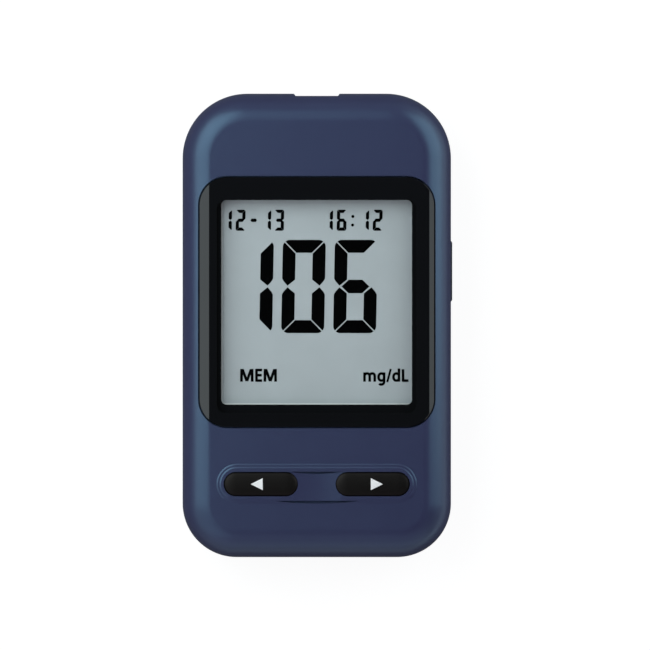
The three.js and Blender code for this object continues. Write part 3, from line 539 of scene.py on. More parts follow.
@dataclass(frozen=True)
class ClearGlass(Finish):
    """Polished display glass with a faint green body."""

    colour: Colour = (0.75, 0.82, 0.79)

    def surface(self, shader: Shader) -> Inputs:
        """Builds the glass.

        Args:
            shader: The tree to build in.

        Returns:
            What goes into the sockets of its Principled BSDF.
        """
        haze = shader.noise(5.0, 3.0)
        return {
            "Base Color": shader.blend(haze, self.colour, tinted(self.colour, 0.94)),
            "Roughness": 0.03 + 0.03 * haze,
            "Alpha": 0.35 + 0.1 * haze,
            "Normal": shader.bump(haze, 0.002),
        }


class Palette:
    """The finishes of the meter, one for each of the record's slots and each mark."""

    case = Moulding(
        "case_satin",
        (0.0325, 0.0308, 0.0805),
        (0.0345, 0.0332, 0.0845),
        0.32,
        level=1.0,
        ior=1.49,
        sheen_colour=(0.41, 0.76, 0.98),
        slot="case_plastic",
    )
    key = Moulding(
        "key_satin",
        (0.003, 0.0028, 0.0027),
        (0.0035, 0.0033, 0.0031),
        0.42,
        level=0.2,
        sheen_colour=(1.0, 0.9, 0.86),
        slot="key_plastic",
    )
    slide = Moulding(
        "slide_satin", (0.048, 0.059, 0.082), (0.052, 0.063, 0.086), 0.5, 0.09, slot="slide_plastic"
    )
    black = Moulding(
        "black_moulding", (0.011, 0.011, 0.012), (0.014, 0.014, 0.015), 0.45, slot="black_plastic"
    )
    natural = Moulding(
        "natural_moulding", (0.63, 0.63, 0.58), (0.68, 0.67, 0.62), 0.5, slot="inner_plastic"
    )
    window = PrintedWindow("printed_window", -17.69, 17.64, -14.67, 23.23, 0.95, slot="window")
    film = DisplayFilm("display_film", (0.466, 0.51, 0.519))
    segment_ink = Print("segment_ink", (0.0003, 0.0003, 0.0004), 0.6, 0.01)
    # Pale strip at the display's left edge and foot: a painted highlight that stands in for light
    # caught by the opening's edge.
    edge_light = Print("edge_light", (0.75, 0.78, 0.75), 0.4)
    mark_white = Print("mark_white", (1.0, 0.985, 0.975), 0.42, thin=0.98)
    glass = ClearGlass("display_glass", slot="display_glass")
    tape = Moulding("foam_tape", (0.012, 0.012, 0.012), (0.016, 0.016, 0.016), 0.85, 0.2, 0.02)
    rubber = LayeredRubber("layered_rubber", slot="contact_rubber")
    board = BoardLaminate("board_laminate", slot="board")
    gold = Plating("gold_plating", (0.78, 0.52, 0.18), 0.2, (1.0, 14.0, 1.0), slot="gold")
    nickel = Plating("nickel_plating", (0.62, 0.6, 0.55), 0.24, (1.0, 14.0, 1.0), slot="nickel")
    zinc = Plating("zinc_plating", (0.5, 0.51, 0.53), 0.3, slot="screw_steel")


# ---- plane shapes ----


@dataclass(frozen=True)
class Outline:
    """A rectangle with round corners, wider or tighter at its two ends."""

    left: float
    right: float
    bottom: float
    top: float
    bottom_radius: float
    top_radius: float

    def points(self, inset: float, steps: int) -> list[Point2]:
        """Walks round the outline.

        Args:
            inset: How far in from the outline the points lie.
            steps: How many steps each corner takes.

        Returns:
            The points, anticlockwise from the bottom right corner.
        """
        low, high = self.bottom_radius, self.top_radius
        corners = (
            (self.right - low, self.bottom + low, low),
            (self.right - high, self.top - high, high),
            (self.left + high, self.top - high, high),
            (self.left + low, self.bottom + low, low),
        )
        found = []
        for corner, (x, y, radius) in enumerate(corners):
            for i in range(steps + 1):
                angle = math.pi / 2 * (corner - 1 + i / steps)
                reach = max(radius - inset, 0.0)
                found.append((x + reach * math.cos(angle), y + reach * math.sin(angle)))
        return found

    def depth(self, x: float, y: float) -> tuple[float, Point2]:
        """Tells how deep inside the outline a point lies.

        Args:
            x: The point's X.
            y: The point's Y.

        Returns:
            The depth, below zero outside, and the way out as a unit vector.
        """
        middle_x, middle_y = (self.left + self.right) / 2, (self.bottom + self.top) / 2
        radius = self.top_radius if y > middle_y else self.bottom_radius
        over_x = abs(x - middle_x) - ((self.right - self.left) / 2 - radius)
        over_y = abs(y - middle_y) - ((self.top - self.bottom) / 2 - radius)
        sign_x = math.copysign(1.0, x - middle_x)
        sign_y = math.copysign(1.0, y - middle_y)
        if over_x > 0 and over_y > 0:
            reach = math.hypot(over_x, over_y)
            return radius - reach, (sign_x * over_x / reach, sign_y * over_y / reach)
        if over_x > over_y:
            return radius - over_x, (sign_x, 0.0)
        return radius - over_y, (0.0, sign_y)


def stadium(x: float, y: float, width: float, height: float) -> Outline:
    """Gives a bar with full round ends about a middle, its width along X."""
    half_w, half_h = width / 2, height / 2
    return Outline(x - half_w, x + half_w, y - half_h, y + half_h, half_h, half_h)


def oblong(x: float, y: float, half_w: float, half_h: float) -> list[Point2]:
    """Gives the corners of a rectangle about a middle, anticlockwise."""
    ways = ((-1, -1), (1, -1), (1, 1), (-1, 1))
    return [(x + across * half_w, y + along * half_h) for across, along in ways]


def quarter(width: float, height: float, steps: int) -> list[Point2]:
    """Gives inset and rise of a rounded edge's levels, a quarter ellipse from side to face."""
    angles = (math.pi / 2 * i / steps for i in range(steps + 1))
    return [(width * (1 - math.cos(a)), height * math.sin(a)) for a in angles]


def bow(
    x: float, y: float, wide: float, tall: float, start: float, end: float, steps: int = BOW_STEPS
) -> list[Point2]:
    """Gives points along part of an ellipse.

    Args:
        x: X of its middle.
        y: Y of its middle.
        wide: Half its width.
        tall: Half its height.
        start: Angle where it starts, in degrees.
        end: Angle where it ends, in degrees.
        steps: How many steps it takes.

    Returns:
        The points.
    """
    turns = [math.radians(start + (end - start) * i / steps) for i in range(steps + 1)]
    return [(x + wide * math.cos(turn), y + tall * math.sin(turn)) for turn in turns]


def ring(sides: int) -> list[float]:
    """Gives equal turns round a circle, in radians."""
    return [2 * math.pi * i / sides for i in range(sides)]


def spread(steps: int) -> list[float]:
    """Gives equal shares from -1 to 1."""
    return [2 * i / steps - 1 for i in range(steps + 1)]


# ---- meshes ----


class Join(Enum):
    """How two closed meshes go together."""

    UNION = "UNION"
    DIFFERENCE = "DIFFERENCE"
    INTERSECT = "INTERSECT"


class Draft:
    """The corners and faces of a mesh while it is drawn, in millimetres."""

    def __init__(self) -> None:
        """Starts with nothing drawn."""
        self.corners: list[Point3] = []
        self.faces: list[tuple[int, ...]] = []

    def loft(self, rings: Sequence[Sequence[Point3]]) -> Draft:
        """Adds a closed body through rings of as many points each.

        Args:
            rings: The rings, from the first end to the last.

        Returns:
            The draft itself.
        """
        base, count = len(self.corners), len(rings[0])
        for points in rings:
            self.corners.extend(points)
        for level in range(len(rings) - 1):
            start = base + level * count
            for i in range(count):
                after = (i + 1) % count
                above = start + count
                self.faces.append((start + i, start + after, above + after, above + i))
        last = base + (len(rings) - 1) * count
        self.faces.append(tuple(base + i for i in reversed(range(count))))
        self.faces.append(tuple(last + i for i in range(count)))
        return self

    def tower(self, outline: Outline, levels: Sequence[Point2], steps: int) -> Draft:
        """Adds a closed body that rises over an outline, by the inset and height of each level."""
        return self.loft(
            [[(x, y, z) for x, y in outline.points(inset, steps)] for inset, z in levels]
        )

    def prism(self, points: Sequence[Point2], low: float, high: float) -> Draft:
        """Adds a straight body over anticlockwise points, from a low to a high level."""
        return self.loft([[(x, y, z) for x, y in points] for z in (low, high)])

    def turned(self, middle: Point2, levels: Sequence[Point2], sides: int) -> Draft:
        """Adds a body turned about an upright axis, by the radius and height of each level."""
        x, y = middle
        return self.loft(
            [[(x + r * math.cos(a), y + r * math.sin(a), z) for a in ring(sides)] for r, z in levels]
        )

    def mesh(self, name: str) -> bpy.types.Mesh:
        """Writes the mesh in metres.

        Args:
            name: Name of the mesh.

        Returns:
            The mesh.
        """
        mesh = bpy.data.meshes.new(name)
        corners = [tuple(part * MM for part in corner) for corner in self.corners]
        mesh.from_pydata(corners, [], self.faces)
        mesh.validate()
        return mesh


def stood(name: str, data: bpy.types.ID) -> bpy.types.Object:
    """Makes an object of some data and stands it in the scene.

    Args:
        name: Name of the object.
        data: Its mesh, lamp or camera.

    Returns:
        The object.
    """
    made = bpy.data.objects.new(name, data)
    bpy.context.scene.collection.objects.link(made)
    return made


def modified(mesh: bpy.types.Mesh, kind: str, settings: Settings) -> bpy.types.Mesh:
    """Runs a modifier on a mesh.

    Args:
        mesh: The mesh to start from.
        kind: The modifier's type.
        settings: Its settings.

    Returns:
        The result, as a new mesh.
    """
    helper = stood(mesh.name, mesh)
    modifier = helper.modifiers.new(kind.lower(), kind)
    for name, setting in settings.items():
        setattr(modifier, name, setting)
    graph = bpy.context.evaluated_depsgraph_get()
    result = bpy.data.meshes.new_from_object(helper.evaluated_get(graph), depsgraph=graph)
    result.name = mesh.name
    bpy.data.objects.remove(helper)
    return result


def combined(base: bpy.types.Mesh, other: bpy.types.Mesh, how: Join) -> bpy.types.Mesh:
    """Joins, cuts or crosses two closed meshes.

    Args:
        base: The mesh that is worked on.
        other: The mesh that joins or cuts it.
        how: What is done.

    Returns:
        The new mesh.
    """
    tool = stood(other.name, other)
    settings = {"operation": how.value, "solver": "EXACT", "object": tool}
    result = modified(base, "BOOLEAN", settings)
    bpy.data.objects.remove(tool)
    return result


def fused(meshes: Sequence[bpy.types.Mesh]) -> bpy.types.Mesh:
    """Joins closed meshes that run into each other to one body.

    Args:
        meshes: The meshes.

    Returns:
        The joined mesh.
    """
    whole = meshes[0]
    for mesh in meshes[1:]:
        whole = combined(whole, mesh, Join.UNION)
    return whole


def welded(source: bpy.types.Mesh, name: str, flat: bool = True) -> bpy.types.Mesh:
    """Copies a mesh with its doubled corners welded and flat faces made whole.

    Args:
        source: The mesh to copy.
        name: Name of the copy.
        flat: Whether triangles of one plane become one face.

    Returns:
        The copy.
    """
    work = bmesh.new()
    work.from_mesh(source)
    bmesh.ops.remove_doubles(work, verts=work.verts, dist=WELD * MM)
    if flat:
        angle = math.radians(FLAT_TURN)
        bmesh.ops.dissolve_limit(work, angle_limit=angle, verts=work.verts, edges=work.edges)
    mesh = bpy.data.meshes.new(name)
    work.to_mesh(mesh)
    work.free()
    return mesh


def creased(mesh: bpy.types.Mesh, angle: float) -> None:
    """Makes a mesh smooth, but for the edges that turn by more than an angle.

    Args:
        mesh: The mesh.
        angle: The angle, in degrees.
    """
    work = bmesh.new()
    work.from_mesh(mesh)
    for face in work.faces:
        face.smooth = True
    for edge in work.edges:
        edge.smooth = edge.calc_face_angle(0.0) < math.radians(angle)
    work.to_mesh(mesh)
    work.free()
    stored = mesh.attributes.get("custom_normal")
    if stored:
        mesh.attributes.remove(stored)


def smoothed(mesh: bpy.types.Mesh, angle: float = 35.0) -> bpy.types.Mesh:
    """Shades a mesh smoothly up to an edge angle in degrees, with its large faces kept flat."""
    creased(mesh, angle)
    return modified(mesh, "WEIGHTED_NORMAL", {"keep_sharp": True, "weight": 80})


def softened(mesh: bpy.types.Mesh, width: float) -> bpy.types.Mesh:
    """Rounds the sharp edges of a mesh a little.

    Args:
        mesh: The mesh.
        width: Width of the rounding in millimetres.

    Returns:
        The new mesh.
    """
    settings = {
        "width": width * MM,
        "segments": 2,
        "limit_method": "ANGLE",
        "angle_limit": math.radians(SOFT_TURN),
        "harden_normals": False,
    }
    return modified(mesh, "BEVEL", settings)


def draped(
    points: Sequence[Point2],
    cuts: Iterable[tuple[Point2, Point2]],
    top: Callable[[float, float], float],
    bottom: float,
    chamfer: float,
) -> bpy.types.Mesh:
    """Builds a plate whose top follows a curved surface.

    Args:
        points: Its outline.
        cuts: Lines that cut it into strips where it bends, each a point and a direction across.
        top: Gives the height of the top at a point.
        bottom: Height of its flat underside.
        chamfer: Width of the chamfer round its top.

    Returns:
        The mesh, in metres.
    """
    work = bmesh.new()
    work.faces.new([work.verts.new((x, y, 0.0)) for x, y in points])
    bmesh.ops.remove_doubles(work, verts=work.verts, dist=DOUBLED)
    for (x, y), (across_x, across_y) in cuts:
        geometry = work.verts[:] + work.edges[:] + work.faces[:]
        line = {"plane_co": (x, y, 0.0), "plane_no": (across_x, across_y, 0.0)}
        bmesh.ops.bisect_plane(work, geom=geometry, **line)
    grown = bmesh.ops.extrude_face_region(work, geom=work.faces[:])
    raised = {part for part in grown["geom"] if isinstance(part, bmesh.types.BMVert)}
    for corner in work.verts:
        x, y, _ = corner.co
        corner.co.z = top(x, y) if corner in raised else bottom
    bmesh.ops.recalc_face_normals(work, faces=work.faces)
    brim = [
        edge
        for edge in work.edges
        if all(corner in raised for corner in edge.verts)
        and sum(abs(face.normal.z) < UPRIGHT for face in edge.link_faces) == 1
    ]
    bmesh.ops.bevel(work, geom=brim, offset=chamfer, segments=1, affect="EDGES")
    bmesh.ops.scale(work, vec=(MM, MM, MM), verts=work.verts)
    mesh = bpy.data.meshes.new("plate")
    work.to_mesh(mesh)
    work.free()
    return mesh


class Bench:
    """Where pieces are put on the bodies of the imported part."""

    def __init__(self, frame: Mapping[str, Mapping[str, bpy.types.Object]]) -> None:
        self.nodes = frame["nodes"]

    def put(
        self, name: str, mesh: bpy.types.Mesh, body: str, finish: Finish, node: str = ""
    ) -> bpy.types.Object:
        """Makes a piece of a mesh and sets it on its body.

        Args:
            name: Name of the piece.
            mesh: Its mesh, in metres.
            body: The body that it rides on.
            finish: Its finish.
            node: The node that it stands for, if any.

        Returns:
            The piece.
        """
        piece = stood(name, mesh)
        mesh.materials.clear()
        mesh.materials.append(finish.material())
        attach(piece, body)
        if node:
            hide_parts(node)
        LOG.info("%s rides on %s, %d faces", name, body, len(mesh.polygons))
        return piece

    def dress(self, node: str, finish: Finish) -> None:
        """Gives a node that stays as it is its finish.

        Args:
            node: Name of the node.
            finish: Its finish.
        """
        for place in self.nodes[node].material_slots:
            place.material = finish.material()
        LOG.info("%s keeps its mesh, finish %s", node, finish.name)

    def refine(self, node: str, name: str, finish: Finish, width: float, body: str = "case") -> None:
        """Replaces a node by a copy of its form with rounded edges.

        Args:
            node: Name of the node.
            name: Name of the piece.
            finish: Its finish.
            width: Width of the rounding, in millimetres.
            body: The body that it rides on.
        """
        mesh = softened(welded(self.nodes[node].data, name), width)
        self.put(name, smoothed(mesh), body, finish, node)


# ---- sub-assemblies ----


@dataclass
class Case:
    """Front and rear covers on one outline, and the four screws that join them."""

    bench: Bench
    outline: Outline = Outline(-24.9, 24.9, -43.0, 43.0, 10.4, 12.4)
    skin: Outline = Outline(-24.9, 24.9, -43.0, 43.0, 10.0, 12.0)
    face: float = 16.8
    front_edge: Point2 = (5.3, 6.0)
    rear_edge: Point2 = (3.2, 4.4)
    edge_steps: int = 20
    seam: float = 7.5
    seam_chamfer: float = 0.2
    seam_foot: Point2 = (0.3, 0.1)
    lip_inset: float = 1.05
    lip_room: Point2 = (5.0, 15.0)
    lip_steps: int = 9
    pad: Outline = stadium(0.0, KEY_ROW, 37.14, 7.54)
    pad_rise: float = 0.25
    pad_levels: tuple[Point2, ...] = ((0.0, 0.0), (0.24, 0.1), (0.56, 0.104), (0.82, 0.214))
    pad_lean: float = 0.14
    saddle: tuple[float, float, float, float] = (17.0, 5.6, 0.34, -29.95)
    saddle_steps: int = 40
    creases: tuple[tuple[float, float, float, float], ...] = (
        (7.9, -32.5, -33.03, 16.2),
        (4.6, -27.1, -27.5, 16.3),
    )
    crease_steps: int = 24
    notch: tuple[float, float, float] = (3.95, 0.28, 42.56)
    key_hole: Point2 = (13.78, 4.54)
    collar_width: float = 0.3
    collar_foot: float = 14.65
    smooth_angle: float = 16.0
    skin_push: float = 0.4
    side_near: float = 0.26
    skin_near: float = 0.16
    corner_near: float = 0.8
    screw_rounding: float = 0.06

    def edge_rise(self, depth: float, edge: Point2) -> float:
        """Gives how far the skin rises on a rounded edge.

        Args:
            depth: Distance in from the outline.
            edge: Width and height of the rounded edge.

        Returns:
            The rise there.
        """
        width, rise = edge
        share = max(0.0, 1 - max(depth, 0.0) / width)
        return rise * math.sqrt(1 - share * share)

    def front_skin(self, depth: float) -> float:
        """Gives the height of the front skin at a depth inside the outline."""
        return self.face - self.front_edge[1] + self.edge_rise(depth, self.front_edge)

    def rear_skin(self, depth: float) -> float:
        """Gives the height of the rear skin at a depth inside the outline."""
        return self.rear_edge[1] - self.edge_rise(depth, self.rear_edge)

    def front_form(self) -> bpy.types.Mesh:
        """Builds the fine outer form of the front cover, with the key pad.

        Returns:
            The closed form.
        """
        start = self.face - self.front_edge[1]
        edge = [(inset, start + rise) for inset, rise in quarter(*self.front_edge, self.edge_steps)]
        inset, reach = self.seam_foot
        foot = [(inset, self.seam - reach), (0.0, self.seam + self.seam_chamfer)]
        whole = Draft().tower(self.skin, foot + edge, CORNER_STEPS).mesh("front_form")
        whole = combined(whole, self.pad_form(), Join.UNION)
        cutters = [self.saddle_form(), *(self.crease_form(*crease) for crease in self.creases)]
        for cutter in (*cutters, self.notch_form()):
            whole = combined(whole, cutter, Join.DIFFERENCE)
        return whole

    def notch_form(self) -> bpy.types.Mesh:
        """Builds what is cut away for the notch at the strip port.

        Returns:
            The closed cutter.
        """
        half, flare, floor = self.notch
        end = self.outline.top + SPARE
        reach = half + flare * (end - floor) / (self.outline.top - floor)
        rim = [(half, floor), (reach, end), (-reach, end), (-half, floor)]
        return Draft().prism(rim, -SPARE, self.face + SPARE).mesh("notch_form")

    def collar(self, hole: Outline) -> bpy.types.Mesh:
        """Builds the rim that closes a key's hole in round the key.

        Args:
            hole: The outline of the finished hole.

        Returns:
            The closed rim.
        """
        wide, foot, top = self.collar_width, self.collar_foot, self.face + SPARE
        rim = Draft().tower(hole, [(-wide, foot), (-wide, top)], CORNER_STEPS)
        opening = Draft().tower(hole, [(0.0, foot - SPARE), (0.0, top + SPARE)], CORNER_STEPS)
        return combined(rim.mesh("collar"), opening.mesh("opening"), Join.DIFFERENCE)

    def pad_form(self) -> bpy.types.Mesh:
        """Builds the raised pad round the keys, in two fine steps that are softer below.

        Returns:
            The closed pad.
        """
        levels = [(0.0, 1.0, self.face - SPARE)]
        for inset, lift in self.pad_levels:
            below = 1 - self.pad_lean * lift / self.pad_rise
            levels.append((inset, below, self.face + lift))
        row = (self.pad.bottom + self.pad.top) / 2
        rings = [
            [
                (x, row + (y - row) * (below if y < row else 1.0), z)
                for x, y in self.pad.points(inset, CORNER_STEPS)
            ]
            for inset, below, z in levels
        ]
        return Draft().loft(rings).mesh("pad_form")

    def saddle_form(self) -> bpy.types.Mesh:
        """Builds what is cut away for the saddle between the keys.

        Returns:
            The closed cutter.
        """
        width, height, depth, middle = self.saddle
        top = self.face + self.pad_rise
        rim = [
            (share * width / 2, top - depth * math.cos(share * math.pi / 2) ** 2)
            for share in spread(self.saddle_steps)
        ]
        rim += [(width / 2, top + SPARE), (-width / 2, top + SPARE)]
        ends = (middle + height / 2, middle - height / 2)
        return Draft().loft([[(x, y, z) for x, z in rim] for y in ends]).mesh("saddle_form")

    def crease_form(self, half: float, upper: float, lower: float, floor: float) -> bpy.types.Mesh:
        """Builds what is cut away for a thin crease at an end of the saddle.

        Args:
            half: Half its length.
            upper: Y of its straight edge.
            lower: Y that its bowed edge reaches.
            floor: Height of its floor.

        Returns:
            The closed cutter.
        """
        shares = spread(self.crease_steps)
        rim = [(share * half, upper + (lower - upper) * (1 - share**2)) for share in shares]
        return Draft().prism(rim, floor, self.face + SPARE).mesh("crease_form")

    def rear_form(self) -> bpy.types.Mesh:
        """Builds the fine outer form of the rear cover, with room for its lip and bosses.

        Returns:
            The closed form.
        """
        levels = reversed(quarter(*self.rear_edge, self.edge_steps))
        edge = [(inset, self.rear_edge[1] - rise) for inset, rise in levels]
        inset, reach = self.seam_foot
        rim = [(0.0, self.seam - self.seam_chamfer), (inset, self.seam + reach)]
        form = Draft().tower(self.skin, edge + rim, CORNER_STEPS).mesh("rear_form")
        room = [(self.lip_inset, z) for z in self.lip_room]
        lip = Draft().tower(self.outline, room, self.lip_steps).mesh("lip_room")
        return combined(combined(form, lip, Join.UNION), self.notch_form(), Join.DIFFERENCE)

    def swollen(self, node: str, height: Callable[[float], float], up: float) -> bpy.types.Mesh:
        """Copies a cover with its outer skin pushed out, so that a fine form can trim it.

        Args:
            node: The cover's node.
            height: Gives the height of the skin for a depth inside the outline.
            up: 1 for the front cover, -1 for the rear.

        Returns:
            The swollen copy.
        """
        mesh = welded(self.bench.nodes[node].data, node + "_swollen", flat=False)
        for corner in mesh.vertices:
            x, y, z = (part / MM for part in corner.co)
            depth, (out_x, out_y) = self.outline.depth(x, y)
            above = z - height(depth)
            near = abs(above) < self.skin_near or up * above > 0
            if depth < self.side_near or (near and depth < self.corner_near):
                corner.co += Vector((out_x, out_y, 0.0)) * self.skin_push * MM
            elif near:
                corner.co.z += up * self.skin_push * MM
        return mesh

    def build(self) -> None:
        """Makes both covers and the screws."""
        front = self.swollen("front_cover", self.front_skin, 1.0)
        for _, way in SIDES:
            hole = stadium(way * KEY_PITCH / 2, KEY_ROW, *self.key_hole)
            front = combined(front, self.collar(hole), Join.UNION)
        rear = self.swollen("rear_cover", self.rear_skin, -1.0)
        covers = (("front_cover", self.front_form(), front), ("rear_cover", self.rear_form(), rear))
        for node, form, cover in covers:
            mesh = combined(form, cover, Join.INTERSECT)
            mesh.name = node + "_shell"
            shell = smoothed(mesh, self.smooth_angle)
            self.bench.put(node + "_shell", shell, "case", Palette.case, node)
        for number in range(1, 5):
            node, name = f"cover_screw_{number}", f"screw_{number}"
            self.bench.refine(node, name, Palette.zinc, self.screw_rounding)


LIT = {"0": "abcdef", "1": "bc", "2": "abged", "3": "abgcd", "6": "afgedc", "-": "g"}


@dataclass(frozen=True)
class DigitShape:
    """One seven-segment figure: its size and the way its segments meet."""

    height: float = 17.29
    width: float = 7.96
    stroke: float = 2.4
    corner: float = 1.15
    corner_steps: int = 5
    gap: float = 0.14
    tip: float = 0.15
    shoulder: float = 1.28
    slant: float = 0.019
    bar_tip: float = 0.58
    bar_full: float = 1.13
    bar_swell: float = 0.05
    nib: Point2 = (0.42, 0.12)
    nib_rise: Point2 = (0.75, 1.15)

    def segment(self, letter: str) -> list[Point2]:
        """Draws one segment upright, at full size.

        Args:
            letter: The segment's usual letter, a to g.

        Returns:
            Its outline.
        """
        w, h, t, r, e = self.width, self.height, self.stroke, self.corner, self.gap
        middle = h / 2
        if letter == "g":
            tip, far, half = self.bar_tip * t, self.bar_full * t, t / 2 + self.bar_swell
            left = [(far, middle + half), (tip, middle), (far, middle - half)]
            return left + [(w - x, y) for x, y in reversed(left)]
        if letter in "ad":
            arc = bow(e + r, h - r, r, r, 135.0, 90.0, self.corner_steps)
            points = arc + [(w - x, y) for x, y in reversed(arc)]
            points += [(w - t - e, h - t), (t + e, h - t)]
        else:
            points = bow(r, h - e - r, r, r, 180.0, 135.0, self.corner_steps) + [
                (t, h - t - e),
                (t, middle + self.shoulder),
                (self.nib[0] * t, middle + self.tip),
                (self.nib[1] * t, middle + self.nib_rise[0] * self.shoulder),
                (0.0, middle + self.nib_rise[1] * self.shoulder),
            ]
        if letter in "bc":
            points = [(w - x, y) for x, y in points]
        if letter in "cde":
            points = [(x, h - y) for x, y in points]
        return points

    def figure(self, sign: str, left: float, bottom: float, scale: float) -> list[list[Point2]]:
        """Draws a figure in its place.

        Args:
            sign: The figure.
            left: X of the cell's left edge at its foot.
            bottom: Y of its foot.
            scale: Size against the full one.

        Returns:
            The outlines of its segments.
        """
        shapes = []
        for letter in LIT[sign]:
            points = self.segment(letter)
            placed = [(left + scale * (x + self.slant * y), bottom + scale * y) for x, y in points]
            pairs = zip(placed, placed[1:] + placed[:1])
            turn = sum(ax * by - bx * ay for (ax, ay), (bx, by) in pairs)
            shapes.append(placed if turn > 0 else placed[::-1])
        return shapes


@dataclass(frozen=True)
class Letter:
    """A letter of the display's fixed segments, drawn with a broad pen."""

    advance: float
    strokes: tuple[tuple[Point2, ...], ...]
    pen: float = 0.5

    def outline(self, line: Sequence[Point2]) -> list[Point2]:
        """Gives the outline of one stroke of the pen.

        Args:
            line: The points that the pen follows.

        Returns:
            The outline, anticlockwise.
        """
        right, left = [], []
        for i, (x, y) in enumerate(line):
            (before_x, before_y) = line[max(i - 1, 0)]
            (after_x, after_y) = line[min(i + 1, len(line) - 1)]
            run = math.hypot(after_x - before_x, after_y - before_y)
            across_x = (before_y - after_y) / run * self.pen / 2
            across_y = (after_x - before_x) / run * self.pen / 2
            right.append((x - across_x, y - across_y))
            left.append((x + across_x, y + across_y))
        return right + left[::-1]


ROUND_BOWL = tuple(bow(0.76, 0.87, 0.53, 0.67, 50.0, 310.0))
M_LEGS = (((0.24, 0.0), (0.28, 2.38)), ((2.2, 2.38), (2.24, 0.0)))
M_VEE = (((0.42, 2.3), (1.24, 0.12)), ((1.24, 0.12), (2.04, 2.3)))
E_BARS = (((0.2, 0.21), (1.3, 0.21)), ((0.2, 1.21), (1.22, 1.21)), ((0.2, 2.17), (1.3, 2.17)))
ARCHES = tuple((*bow(x, 1.05, 0.47, 0.49, 150.0, 0.0), (x + 0.47, 0.0)) for x in (0.74, 1.68))
HOOK = ((1.26, 1.74), (1.26, 0.0), *bow(0.74, -0.05, 0.52, 0.47, 0.0, -140.0))
LETTERS = {
    "M": Letter(2.78, (M_LEGS[0], *M_VEE, M_LEGS[1]), 0.52),
    "E": Letter(1.56, (((0.25, 0.0), (0.25, 2.38)), *E_BARS)),
    "m": Letter(2.62, (((0.25, 0.0), (0.25, 1.74)), *ARCHES)),
    "g": Letter(1.66, (ROUND_BOWL, HOOK)),
    "/": Letter(1.1, (((0.18, -0.1), (0.84, 2.38)),), 0.4),
    "d": Letter(1.76, (ROUND_BOWL, ((1.26, 0.0), (1.26, 2.46)))),
    "L": Letter(1.3, (((0.25, 0.0), (0.25, 2.32)), ((0.2, 0.2), (1.28, 0.2)))),
}


